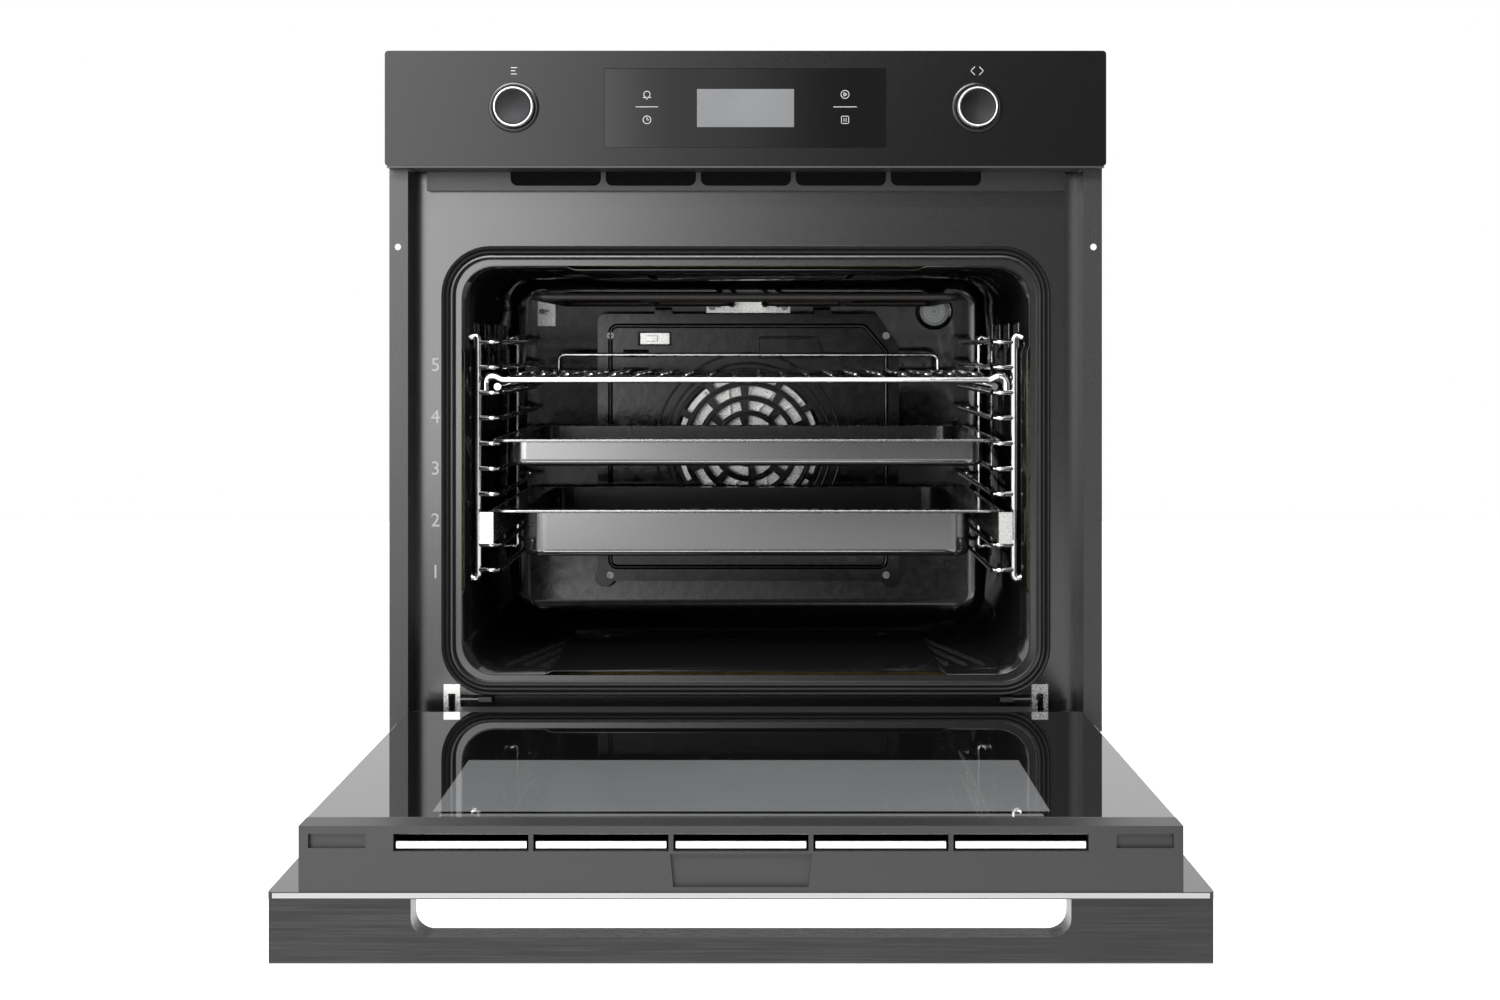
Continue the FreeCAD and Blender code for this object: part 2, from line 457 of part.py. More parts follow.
# ---- heat, air and light ---------------------------------------------------------------------------
def bent_rod(points, radius, bend):
    """Round bar through the points, with every corner turned on the same bend radius."""
    pts = [V(*p) for p in points]
    edges, start = [], pts[0]
    for before, here, after in zip(pts, pts[1:], pts[2:]):
        into, out = (here - before).normalize(), (after - here).normalize()
        half = into.getAngle(out) / 2
        a, b = here - into * (bend * math.tan(half)), here + out * (bend * math.tan(half))
        middle = here + (out - into).normalize() * (bend / math.cos(half) - bend)
        edges += [Part.LineSegment(start, a).toShape(), Part.Arc(a, middle, b).toShape()]
        start = b
    edges.append(Part.LineSegment(start, pts[-1]).toShape())
    section = Part.Wire([Part.Circle(pts[0], pts[1] - pts[0], radius).toShape()])
    return Part.Wire(edges).makePipeShell([section], True, True)


def grill_element():
    """Two heating rods under the roof: an outer loop and an inner loop, with four legs at the back."""
    end = CAVITY_BACK + ENAMEL_SHEET + ROD_END
    rods = []
    outer = (GRILL_LEGS[3], CAVITY_HALF - GRILL_INSET, FRAME_Y + 64, CAVITY_BACK - 38, 10.0)
    inner = (GRILL_LEGS[2], GRILL_INNER, FRAME_Y + 134, CAVITY_BACK - 62, 8.0)
    for leg, reach, front, rear, bend in (outer, inner):
        path = [(-leg, end, GRILL_Z), (-leg, rear, GRILL_Z), (-reach, rear, GRILL_Z), (-reach, front, GRILL_Z),
                (reach, front, GRILL_Z), (reach, rear, GRILL_Z), (leg, rear, GRILL_Z), (leg, end, GRILL_Z)]
        rods.append(bent_rod(path, ROD_R, bend))
    return Part.makeCompound(rods)


def grill_terminal_plate():
    """Steel flange that the grill rods pass through, screwed to the back wall."""
    plate = box(-GRILL_PLATE_HALF, GRILL_PLATE_HALF, CAVITY_BACK - GRILL_PLATE_T, CAVITY_BACK,
                GRILL_Z - GRILL_PLATE_RISE, GRILL_Z + GRILL_PLATE_RISE)
    y0, y1 = CAVITY_BACK - 5, CAVITY_BACK + 5
    holes = [rod((x, y0, GRILL_Z), (x, y1, GRILL_Z), ROD_R + 0.3) for x in GRILL_LEGS]
    holes += [rod((x, y0, z), (x, y1, z), SCREW_R + 0.2) for x, z in PLATE_SCREWS]
    return cut(plate, holes)


def cavity_screws():
    """Pan-head screws of the terminal plate, the fan cover and the ladders."""
    def screw(x, y, z, length):
        head = rod((x, y - SCREW_HEAD_T, z), (x, y, z), SCREW_HEAD_R)
        slot = box(x - 2.6, x + 2.6, y - SCREW_HEAD_T - 1, y - SCREW_HEAD_T / 2, z - 0.4, z + 0.4)
        return head.fuse(rod((x, y, z), (x, y + length, z), SCREW_R)).cut(slot)
    screws = [screw(x, CAVITY_BACK - GRILL_PLATE_T, z, 4.0) for x, z in PLATE_SCREWS]
    screws += [screw(x, COVER_Y, z, FAN_ROOM - 1.0) for x, z in COVER_SCREWS]
    return Part.makeCompound(screws)


def lower_element():
    """Heating rod in a flat M under the cavity floor."""
    end = CAVITY_BACK + ENAMEL_SHEET + ROD_END
    outer, inner, leg = CAVITY_HALF - LOWER_INSET, (CAVITY_HALF - LOWER_INSET) / 3, 25
    front, middle, rear = FRAME_Y + 99, CAVITY_BACK - 113, CAVITY_BACK - 63
    half = [(leg, end), (leg, rear), (outer, rear), (outer, front), (inner, front), (inner, middle)]
    path = [(-x, y, LOWER_Z) for x, y in half] + [(x, y, LOWER_Z) for x, y in reversed(half)]
    return bent_rod(path, ROD_R, 12.0)


def ring_element():
    """Heating ring round the impeller, with two legs through the back wall."""
    end = CAVITY_BACK + ENAMEL_SHEET + ROD_END
    x, z = RING_LEG, RING_LEG_Z
    path = Part.Arc(V(x, FAN_Y, z), V(0, FAN_Y, FAN_Z - RING_R), V(-x, FAN_Y, z)).toShape()
    start = path.valueAt(path.FirstParameter)
    section = Part.Wire([Part.Circle(start, path.tangentAt(path.FirstParameter), RING_TUBE_R).toShape()])
    ring = Part.Wire([path]).makePipeShell([section], True, True)
    legs = [rod((x, FAN_Y, z), (x, end, z), RING_TUBE_R) for x in (-RING_LEG, RING_LEG)]
    return union([ring] + legs)


def convection_fan():
    """Impeller: back disc, radial blades and hub on the motor's shaft."""
    front, back = COVER_Y + 4.0, CAVITY_BACK - 4.0
    disc = rod((0, back - 1.0, FAN_Z), (0, back, FAN_Z), FAN_R)
    hub = rod((0, front + 3, FAN_Z), (0, back, FAN_Z), FAN_HUB_R)
    blades = []
    for k in range(FAN_BLADES):
        blade = box(-BLADE_T / 2, BLADE_T / 2, front + 1, back - 0.5, FAN_Z + FAN_R * 0.47, FAN_Z + FAN_R - 1)
        blade.rotate(V(0, 0, FAN_Z + FAN_R * 0.7), Y_AXIS, BLADE_TURN)
        blade.rotate(V(0, 0, FAN_Z), Y_AXIS, k * 360.0 / FAN_BLADES)
        blades.append(blade)
    shaft = rod((0, back, FAN_Z), (0, MOTOR_Y + 8, FAN_Z), SHAFT_R)
    return union([disc, hub, shaft] + blades)


def fan_motor():
    """Shaded-pole motor behind the insulation, with a blind bearing for the shaft."""
    y = MOTOR_Y + 2
    body = rod((0, y, FAN_Z), (0, y + 24, FAN_Z), 26.0)
    stack = box(-32, 32, y + 6, y + 20, FAN_Z - 46, FAN_Z + 30)
    bore = rod((0, y - 1, FAN_Z), (0, y + 8, FAN_Z), SHAFT_R + SHAFT_FIT)
    return union([body, stack]).cut(bore)


def fan_cover():
    """Pressed plate over the fan: a grille in the middle and turned edges that reach the back wall."""
    points = [(-COVER_HALF, COVER_LOW), (-COVER_HALF, COVER_HIGH), (COVER_HALF - COVER_CUT_X, COVER_HIGH),
              (COVER_HALF, COVER_HIGH - COVER_CUT_Z), (COVER_HALF, COVER_LOW)]

    def plate(inset, y0, y1):
        cx, cz = 0.0, (COVER_LOW + COVER_HIGH) / 2
        fx, fz = 1 - inset / COVER_HALF, 1 - 2 * inset / (COVER_HIGH - COVER_LOW)
        loop = [V(cx + (x - cx) * fx, y0, cz + (z - cz) * fz) for x, z in points]
        block = Part.Face(Part.makePolygon(loop + loop[:1])).extrude(V(0, y1 - y0, 0))
        corners = [e for e in block.Edges if abs(e.tangentAt(e.FirstParameter).y) > 0.99]
        return block.makeFillet(COVER_R, corners)
    shell = plate(0, COVER_Y, CAVITY_BACK).cut(plate(COVER_SHEET, COVER_Y + COVER_SHEET, CAVITY_BACK + 1))
    slots = []
    for share, count, fill in GRILLE_SLOTS:
        outer, inner = GRILLE_R * (share + GRILLE_SLOT_HALF), GRILLE_R * (share - GRILLE_SLOT_HALF)
        ring = tube((0, COVER_Y - 1, FAN_Z), (0, COVER_Y + 3, FAN_Z), outer, inner)
        for k in range(count):
            turn = 360.0 / count
            wedge = Part.makeCylinder(GRILLE_R, 4, V(0, COVER_Y - 1, FAN_Z), Y_AXIS, turn * fill)
            wedge.rotate(V(0, 0, FAN_Z), Y_AXIS, k * turn)
            slots.append(ring.common(wedge))
    x0, y0, y1 = -COVER_HALF, COVER_Y - 1, COVER_Y + 3
    vents = [box(x0 + 26, x0 + 52, y0, y1, COVER_HIGH - drop, COVER_HIGH - drop + 8) for drop in (44, 62)]
    vents += [box(x0 + 41, x0 + 75, y0, y1, COVER_HIGH - 32, COVER_HIGH - 18)]
    edges = []
    for x in (63 - COVER_HALF, 0, COVER_HALF - 63):
        edges += [box(x - 22, x + 22, y1, CAVITY_BACK + 1, COVER_LOW - 1, COVER_LOW + 3),
                  box(x - 22, x + 22, y1, CAVITY_BACK + 1, COVER_HIGH - 3, COVER_HIGH + 1)]
    holes = [rod((x, COVER_Y - 5, z), (x, COVER_Y + 5, z), SCREW_R + 0.2) for x, z in COVER_SCREWS]
    return cut(shell, slots + vents + edges + holes)


def lamp_holder():
    """Ceramic socket in the back wall with a rim that the glass screws over."""
    y = CAVITY_BACK
    tubes = tube((LAMP_X, y - 2, LAMP_Z), (LAMP_X, y + LAMP_DEPTH, LAMP_Z), LAMP_R - 2, LAMP_R - 5)
    end = rod((LAMP_X, y + LAMP_DEPTH, LAMP_Z), (LAMP_X, y + LAMP_DEPTH + 8, LAMP_Z), LAMP_R - 2)
    return union([tubes, end])


def lamp_bulb():
    y = CAVITY_BACK + LAMP_DEPTH
    cap = rod((LAMP_X, y - 8, LAMP_Z), (LAMP_X, y, LAMP_Z), 6.5)
    bulb = rod((LAMP_X, y - 22, LAMP_Z), (LAMP_X, y - 8, LAMP_Z), BULB_R)
    tip = Part.makeSphere(BULB_R, V(LAMP_X, y - 22, LAMP_Z))
    return union([cap, bulb, tip])


def lamp_glass():
    """Domed glass cover: a threaded skirt round the holder's rim and a thick lens."""
    y = CAVITY_BACK
    skirt = tube((LAMP_X, y - 8, LAMP_Z), (LAMP_X, y, LAMP_Z), LAMP_R, LAMP_R - LAMP_WALL)
    lens = rod((LAMP_X, y - 11, LAMP_Z), (LAMP_X, y - 8, LAMP_Z), LAMP_R)
    lens = lens.makeFillet(2.0, [e for e in lens.Edges if e.Closed and e.Vertexes[0].Y < y - 10.9])
    dome = rod((LAMP_X, y - 15, LAMP_Z), (LAMP_X, y - 8, LAMP_Z), LAMP_R * 0.6)
    return union([skirt, lens, dome])


def temperature_probe():
    """Sensor rod on a small screwed bracket, reaching into the chamber from the back wall."""
    y = CAVITY_BACK
    stem = rod((PROBE_X, y - PROBE_REACH, PROBE_Z), (PROBE_X, y + 20, PROBE_Z), PROBE_R)
    tip = Part.makeSphere(PROBE_R, V(PROBE_X, y - PROBE_REACH, PROBE_Z))
    bracket = box(PROBE_X - 9, PROBE_X + 9, y - 1.2, y, PROBE_Z - 14, PROBE_Z + 14)
    return union([stem, tip, bracket])


def air_duct():
    """Cooling channel above the insulation, ending in the slotted outlet under the fascia."""
    low, high, half = DUCT_LOW, DUCT_HIGH, DUCT_HALF
    front, back = FRAME_Y - 4, DUCT_BACK
    y = FRAME_BACK_Y + 8
    inside = box(-half + SHEET, half - SHEET, y - 1, back + 1, low + SHEET, high - SHEET)
    channel = box(-half, half, y, back, low, high).cut(inside)
    inlet = rod((0, COOLER_Y, high - 5), (0, COOLER_Y, high + 5), COOLER_R + 3)
    outlet_half = PLATEAU_HALF
    sill = high - OUTLET_HEIGHT
    strip = box(-outlet_half, outlet_half, front, front + SHEET, sill, high)
    shelf = box(-outlet_half, outlet_half, front, FRAME_BACK_Y, sill - SHEET, sill)
    pitch = 2 * OUTLET_HALF / OUTLET_SLOTS
    slots = []
    for k in range(OUTLET_SLOTS):
        x = -OUTLET_HALF + pitch * k
        slots.append(rounded(x + 2, x + pitch - 2, sill + 3, high + 12, 6.0, front - 1, front + 3))
    return Part.makeCompound([channel.cut(inlet), union([strip, shelf]).cut(slots)])


def cooling_fan_motor():
    """Motor on its mounting plate, hung over the duct's inlet."""
    z = DUCT_HIGH + MOTOR_RISE
    body = rod((0, COOLER_Y, z), (0, COOLER_Y, z + 22), 30.0)
    plate = box(-75, 75, COOLER_Y - 75, COOLER_Y + 75, z - 1.5, z)
    legs = [box(x - 1.5, x + 1.5, COOLER_Y - 20, COOLER_Y + 20, DUCT_HIGH, z - 1.5) for x in (-73.5, 73.5)]
    bore = rod((0, COOLER_Y, z - 5), (0, COOLER_Y, z + 10), SHAFT_R + SHAFT_FIT)
    return union([body, plate] + legs).cut(bore)


def cooling_fan_wheel():
    """Radial blower wheel on a vertical shaft."""
    z = DUCT_HIGH + COOLER_RISE
    top = z + COOLER_WHEEL
    disc = rod((0, COOLER_Y, top - 2), (0, COOLER_Y, top), COOLER_R)
    hub = rod((0, COOLER_Y, z + 6), (0, COOLER_Y, top), 10.0)
    shaft = rod((0, COOLER_Y, top), (0, COOLER_Y, top + 18), SHAFT_R)
    blades = []
    for k in range(COOLER_BLADES):
        blade = box(COOLER_R - 18, COOLER_R - 1, COOLER_Y - 0.6, COOLER_Y + 0.6, z, top - 1)
        blade.rotate(V(COOLER_R - 9, COOLER_Y, 0), Z_AXIS, 35)
        blade.rotate(V(0, COOLER_Y, 0), Z_AXIS, k * 360.0 / COOLER_BLADES)
        blades.append(blade)
    return union([disc, hub, shaft] + blades)


# ---- shelves and what carries them --------------------------------------------------------------------


def side_ladder(side):
    """Wire ladder of round bars: two uprights, ten rungs and the stubs that carry them."""
    top, low = RUNG_Z[0] + UPRIGHT_END, RUNG_Z[-1] - UPRIGHT_END
    x, posts = side * UPRIGHT_X, (LADDER_FRONT, LADDER_BACK)
    parts = [rod((x, y, low), (x, y, top), UPRIGHT_R) for y in posts]
    front, back = LADDER_FRONT - RUNG_OVERHANG, LADDER_BACK + RUNG_OVERHANG
    for level in range(RUNG_COUNT):
        if level == RUNNER_RUNG:
            continue
        z = RUNG_Z[level]
        parts.append(rod((side * RUNG_X, front, z), (side * RUNG_X, back, z), RUNG_R))
        parts += [rod((side * (RUNG_X + RUNG_R), y, z), (side * (UPRIGHT_X - UPRIGHT_R), y, z), RUNG_R)
                  for y in posts]
    parts += [rod((side * (UPRIGHT_X + UPRIGHT_R), y, z), (side * CAVITY_HALF, y, z), STUD_R)
              for y in posts for z in (top - STUD_HIGH, low + STUD_LOW)]
    return parts


def side_ladders():
    return Part.makeCompound(side_ladder(-1) + side_ladder(1))


def runner_rail(side):
    """Fixed channel of a telescopic runner, open towards the middle, clipped to the rung below."""
    x0, x1 = span(side, RAIL_IN, RAIL_OUT)
    y0, y1 = RUNNER_FRONT, RUNNER_BACK
    web = box(x0, x1, y0, y1, RUNNER_LOW, RUNNER_HIGH)
    lip0, lip1 = span(side, RAIL_IN - RAIL_LIP, RAIL_OUT)
    lips = [box(lip0, lip1, y0, y1, RUNNER_LOW, RUNNER_LOW + RAIL_LIP_T),
            box(lip0, lip1, y0, y1, RUNNER_HIGH - RAIL_LIP_T, RUNNER_HIGH)]
    g0, g1 = span(side, RAIL_IN - RAIL_LIP, RAIL_IN + RAIL_T * 0.6)
    edge = (RUNNER_HIGH - RUNNER_LOW) * 0.285
    groove = box(g0, g1, y0 - 1, y1 + 1, RUNNER_LOW + edge, RUNNER_HIGH - edge)
    return union([web] + lips).cut(groove)


def runner_rails():
    return pair(runner_rail)


def runner_middle(side):
    x0, x1 = span(side, MIDDLE_IN, MIDDLE_OUT)
    y0, y1 = RUNNER_FRONT, RUNNER_BACK
    return box(x0, x1, y0, y1, RUNNER_LOW + MIDDLE_LIP, RUNNER_HIGH - MIDDLE_LIP)


def runner_middles():
    return pair(runner_middle)


def runner_slider(side):
    """Moving bar with a stop plate at its front and a peg at its back for the pan's rim."""
    x0, x1 = span(side, SLIDER_IN, SLIDER_OUT)
    y0, y1 = RUNNER_FRONT, RUNNER_BACK
    bar = box(x0, x1, y0, y1, RUNNER_LOW, SLIDER_TOP)
    p0, p1 = span(side, SLIDER_IN, RAIL_OUT)
    plate = box(p0, p1, y0 - RUNNER_GAP - SLIDER_STOP, y0 - RUNNER_GAP, RUNNER_LOW - 1, SLIDER_TOP)
    neck = box(x0, x1, y0 - 0.5, y0 + 0.5, RUNNER_LOW, SLIDER_TOP)
    return union([bar, plate, neck])


def wire_rack():
    """Grid shelf: heavy side bars and cross bars, twenty thin wires and a guard at the back."""
    x, thick, thin, guard = RUNG_X, RACK_BAR_R, RACK_WIRE_R, RACK_GUARD_R
    front, back = SHELF_FRONT, SHELF_BACK
    bar_z, reach = RACK_Z + 2 * thick, x + RACK_HOOK
    parts = [rod((side * x, front, RACK_Z), (side * x, back, RACK_Z), thick) for side in (-1, 1)]
    parts.append(rod((-reach, front + thick, bar_z), (reach, front + thick, bar_z), thick))
    parts.append(rod((-x, back - thick, bar_z), (x, back - thick, bar_z), thick))
    wire_z = bar_z + thick + thin
    pitch = 2 * (x - RACK_EDGE) / (RACK_WIRES - 1)
    places = [RACK_EDGE - x + pitch * k for k in range(RACK_WIRES)]
    parts += [rod((place, front, wire_z), (place, back, wire_z), thin) for place in places]
    half, y = x - GUARD_INSET, back - thick
    guard_z = wire_z + thin + GUARD_RISE
    parts.append(rod((-half, y, guard_z), (half, y, guard_z), guard))
    parts += [rod((end, y, bar_z + thick), (end, y, guard_z - guard), guard) for end in (-half, half)]
    return Part.makeCompound(parts)


def shelf_pan(half, depth, rim_low, radius):
    """Pressed pan with a flat rim, a rounded plan and a rounded bottom edge."""
    front, back = SHELF_FRONT, SHELF_BACK
    inset = RIM_HALF - half

    def tub(grow, low, high):
        block = rounded_flat(-half - grow, half + grow, front + inset - grow, back - inset + grow,
                             radius + grow, low, high)
        bottom = [e for e in block.Edges if max(v.Z for v in e.Vertexes) < low + 0.01]
        return block.makeFillet(PAN_BOTTOM_R + grow, bottom)
    rim = rounded_flat(-RIM_HALF, RIM_HALF, front, back, radius, rim_low, rim_low + TRAY_SHEET)
    outer = tub(0.0, rim_low - depth, rim_low + TRAY_SHEET)
    inner = tub(-TRAY_SHEET, rim_low - depth + TRAY_SHEET, rim_low + TRAY_SHEET + 5)
    return union([rim, outer]).cut(inner)


def baking_tray():
    return shelf_pan(RUNG_X - TRAY_INSET, TRAY_DEPTH, RUNG_Z[TRAY_RUNG] + RUNG_R + REST_GAP, TRAY_R)


def deep_pan():
    return shelf_pan(RUNG_X - PAN_INSET, PAN_DEPTH, SLIDER_TOP + REST_GAP, PAN_R)


# ---- controls ------------------------------------------------------------------------------------------
def control_panel():
    """Fascia: a shallow tray with a recess for the touch glass and two knob holes."""
    shell = rounded(-HALF, HALF, FASCIA_LOW, HEIGHT, EDGE_R, FRONT_Y, 0)
    wall = FASCIA_WALL
    hollow = box(-HALF + wall, HALF - wall, FRONT_Y + wall, 1, FASCIA_LOW + wall, HEIGHT - wall)
    window = box(-GLASS_HALF, GLASS_HALF, FRONT_Y - 1, FRONT_Y + wall + 1, GLASS_LOW, GLASS_HIGH)
    y0, y1 = FRONT_Y - 1, FRONT_Y + 9
    knobs = [rod((side * KNOB_X, y0, KNOB_Z), (side * KNOB_X, y1, KNOB_Z), BEZEL_R) for side in (-1, 1)]
    return cut(shell, [hollow, window] + knobs)


def display_glass():
    half, fit = GLASS_HALF - GLASS_FIT, GLASS_FIT
    return box(-half, half, FRONT_Y + 0.4, FRONT_Y + FASCIA_WALL, GLASS_LOW + fit, GLASS_HIGH - fit)


def display_module():
    """Display in its plastic frame, behind the glass."""
    y = FRONT_Y + FASCIA_WALL
    frame = box(-LCD_HALF - 6, LCD_HALF + 6, y, y + 7, LCD_LOW - 5, LCD_HIGH + 5)
    bed = box(-GLASS_HALF - 5, GLASS_HALF + 5, y, y + 1.5, GLASS_LOW - 5, GLASS_HIGH + 5)
    return union([frame, bed])


def control_board():
    """Circuit board with the two encoders that the knob shafts turn in."""
    y = BOARD_Y
    board = box(-KNOB_X - 24, KNOB_X + 24, y, y + BOARD_T, KNOB_Z - 26, KNOB_Z + 26)
    encoders, bores = [], []
    for x in (-KNOB_X, KNOB_X):
        encoders.append(box(x - ENCODER, x + ENCODER, y - 6.5, y, KNOB_Z - ENCODER, KNOB_Z + ENCODER))
        bores.append(rod((x, y - 20, KNOB_Z), (x, y + 3, KNOB_Z), KNOB_SHAFT_R + SHAFT_FIT))
    places = [KNOB_X * share for share in (-0.73, -0.59, 0.31, 0.47, 0.63)]
    relays = [box(x, x + 16, y + BOARD_T, y + 14, KNOB_Z - 20, KNOB_Z - 8) for x in places]
    return cut(union([board] + encoders + relays), bores)


def knob_bezel(side):
    """Cup behind a knob with a rounded front ring."""
    x = side * KNOB_X
    front, back = FRONT_Y - BEZEL_PROUD, FRONT_Y + BEZEL_DEPTH
    ring = tube((x, front, KNOB_Z), (x, back, KNOB_Z), BEZEL_R - FIT, KNOB_R + 1.0)
    floor = tube((x, back - 1.5, KNOB_Z), (x, back, KNOB_Z), BEZEL_R - FIT, KNOB_SHAFT_R + 0.6)
    return union([ring, floor])


def knob_bezels():
    return pair(knob_bezel)


def knob_shaft(side):
    """Encoder shaft with a flat on its end, which drives the knob."""
    x = side * KNOB_X
    shaft = rod((x, FRONT_Y + 1.0, KNOB_Z), (x, BOARD_Y + 1.0, KNOB_Z), KNOB_SHAFT_R)
    flat = box(x - 4, x + 4, FRONT_Y, FRONT_Y + 12, KNOB_Z + KNOB_SHAFT_R - SHAFT_FLAT, KNOB_Z + 9)
    return shaft.cut(flat)


def knob_ring(side):
    """Knurled metal grip with a boss that fits the shaft and its flat."""
    x = side * KNOB_X
    back, seat = FRONT_Y + KNOB_BACK, FRONT_Y - KNOB_TRAVEL
    grip = tube((x, KNOB_FRONT, KNOB_Z), (x, back, KNOB_Z), KNOB_R, KNOB_CAP_R)
    web = rod((x, seat - KNOB_WEB, KNOB_Z), (x, seat, KNOB_Z), KNOB_CAP_R)
    boss = rod((x, seat, KNOB_Z), (x, back, KNOB_Z), BOSS_R)
    bore = rod((x, seat + 0.5, KNOB_Z), (x, FRONT_Y + 9, KNOB_Z), KNOB_SHAFT_R + SHAFT_FIT)
    flat_z = KNOB_Z + KNOB_SHAFT_R - SHAFT_FLAT + SHAFT_FIT
    flat = box(x - 4, x + 4, FRONT_Y - 9, FRONT_Y + 9, flat_z, KNOB_Z + 9)
    return union([grip, web, boss]).cut(bore.cut(flat))


def knob_cap(side):
    """Turned cap with a shallow cone, pressed into the grip."""
    x = side * KNOB_X
    seat = FRONT_Y - KNOB_TRAVEL - KNOB_WEB
    cap = rod((x, KNOB_FRONT + 0.4, KNOB_Z), (x, seat, KNOB_Z), KNOB_CAP_R - 0.02)
    cone = Part.makeCone(KNOB_CAP_R - 1.2, 0.5, 1.4, V(x, KNOB_FRONT + 0.39, KNOB_Z), Y_AXIS)
    return cap.cut(cone)


# ---- hinges ------------------------------------------------------------------------------------------------


def hinge_receptacle(side):
    """Steel pocket in the frame that the hinge arm hooks into."""
    x0, x1 = span(side, HINGE_X - PLATE_HALF, HINGE_X + PLATE_HALF)
    plate = box(x0, x1, FRAME_Y - PLATE_SHEET, FRAME_Y, PLATE_LOW, PLATE_HIGH)
    shell = box(x0, x1, FRAME_Y, PLATE_BACK, PLATE_LOW, PLATE_HIGH)
    wall = PLATE_SHEET
    x2, x3 = span(side, HINGE_X - PLATE_HALF + wall, HINGE_X + PLATE_HALF - wall)
    hollow = box(x2, x3, FRAME_Y, PLATE_BACK - wall, PLATE_LOW + wall, PLATE_HIGH - wall)
    slot = ARM_T / 2 + ARM_CLEAR
    x4, x5 = span(side, HINGE_X - slot, HINGE_X + slot)
    mouth = box(x4, x5, FRAME_Y - 9, FRAME_Y + 9, ARM_LOW - 0.5, PLATE_HIGH - 8)
    return cut(union([plate, shell]), [hollow, mouth])


def hinge_receptacles():
    return pair(hinge_receptacle)


def hinge_arm(side):
    """Flat arm: an eye round the pin at one end and a hook in the receptacle at the other."""
    x0, x1 = span(side, HINGE_X - ARM_T / 2, HINGE_X + ARM_T / 2)
    eye = rod((x0, HINGE_Y, HINGE_Z), (x1, HINGE_Y, HINGE_Z), ARM_R)
    back = PLATE_BACK - 6
    bar = box(x0, x1, HINGE_Y, back, ARM_LOW, ARM_HIGH)
    hook = box(x0, x1, back - HOOK_ROOM - HOOK_LENGTH, back - HOOK_ROOM, ARM_HIGH, ARM_HIGH + HOOK_HEIGHT)
    bore = rod((x0 - 1, HINGE_Y, HINGE_Z), (x1 + 1, HINGE_Y, HINGE_Z), PIN_R + SHAFT_FIT)
    return union([eye, bar, hook]).cut(bore)


def hinge_arms():
    return pair(hinge_arm)


def hinge_channel(side):
    """Steel U inside the door, open towards the oven, with ears for the pin."""
    x0, x1 = span(side, HINGE_X - CHANNEL_HALF, HINGE_X + CHANNEL_HALF)
    front, back = DOOR_GAP[0] + CHANNEL_GAP, DOOR_GAP[1] - CHANNEL_GAP
    outer = box(x0, x1, front, back, DOOR_LOW + 1, CHANNEL_TOP)
    wall = CHANNEL_SHEET
    x2, x3 = span(side, HINGE_X - CHANNEL_HALF + wall, HINGE_X + CHANNEL_HALF - wall)
    inner = box(x2, x3, front + wall, back + 1, DOOR_LOW, CHANNEL_TOP + 1)
    shell = outer.cut(inner)
    bore = rod((x0 - 1, HINGE_Y, HINGE_Z), (x1 + 1, HINGE_Y, HINGE_Z), PIN_R)
    return shell.cut(bore)


def hinge_channels():
    return opened(pair(hinge_channel))


def hinge_pin(side):
    x0, x1 = span(side, HINGE_X - CHANNEL_HALF, HINGE_X + CHANNEL_HALF)
    return rod((x0, HINGE_Y, HINGE_Z), (x1, HINGE_Y, HINGE_Z), PIN_R)


def hinge_pins():
    return pair(hinge_pin)


def hinge_lever(side):
    """Small cranked lever beside the receptacle that locks the hinge when the door is lifted off."""
    x0 = HINGE_X - PLATE_HALF - LEVER_ROOM
    stem = rod((side * x0, LEVER_Y, LEVER_Z), (side * (x0 - LEVER_STEM), LEVER_Y, LEVER_Z), LEVER_R)
    p0, p1 = span(side, x0 - LEVER_REACH, x0 - LEVER_STEM + 1)
    pad = box(p0, p1, LEVER_Y - LEVER_R, LEVER_Y + LEVER_R, LEVER_Z - LEVER_PAD, LEVER_Z + LEVER_PAD)
    return union([stem, pad])


# ---- door, drawn closed and then opened ----------------------------------------------------
def door_outer_glass():
    glass = rounded(-HALF, HALF, DOOR_LOW, DOOR_HIGH, EDGE_R, DOOR_FACE, DOOR_FACE + OUTER_GLASS)
    return opened(cut(glass, [handle_screw(x) for x in HANDLE_SCREWS]))


def door_inner_glass():
    return opened(rounded(-DOOR_HALF, DOOR_HALF, INNER_LOW, STRIP_LOW, EDGE_R, DOOR_GAP[1], DOOR_INSIDE))


def door_middle_glass():
    y = DOOR_INSIDE - INNER_GLASS - GLASS_SPACE - MIDDLE_GLASS
    return opened(box(-BETWEEN_HINGES, BETWEEN_HINGES, y, y + MIDDLE_GLASS, INNER_LOW, STRIP_LOW))


def door_side_rail(side):
    x0, x1 = span(side, DOOR_HALF - RAIL_WIDTH, DOOR_HALF)
    x2, x3 = span(side, DOOR_HALF - RAIL_WIDTH - 1, DOOR_HALF - DOOR_WALL)
    rail = box(x0, x1, DOOR_GAP[0], DOOR_GAP[1], DOOR_LOW + 1, STRIP_LOW)
    hollow = box(x2, x3, DOOR_GAP[0] + DOOR_WALL, DOOR_GAP[1] - DOOR_WALL, DOOR_LOW, DOOR_HIGH)
    return rail.cut(hollow)


def door_side_rails():
    return opened(pair(door_side_rail))


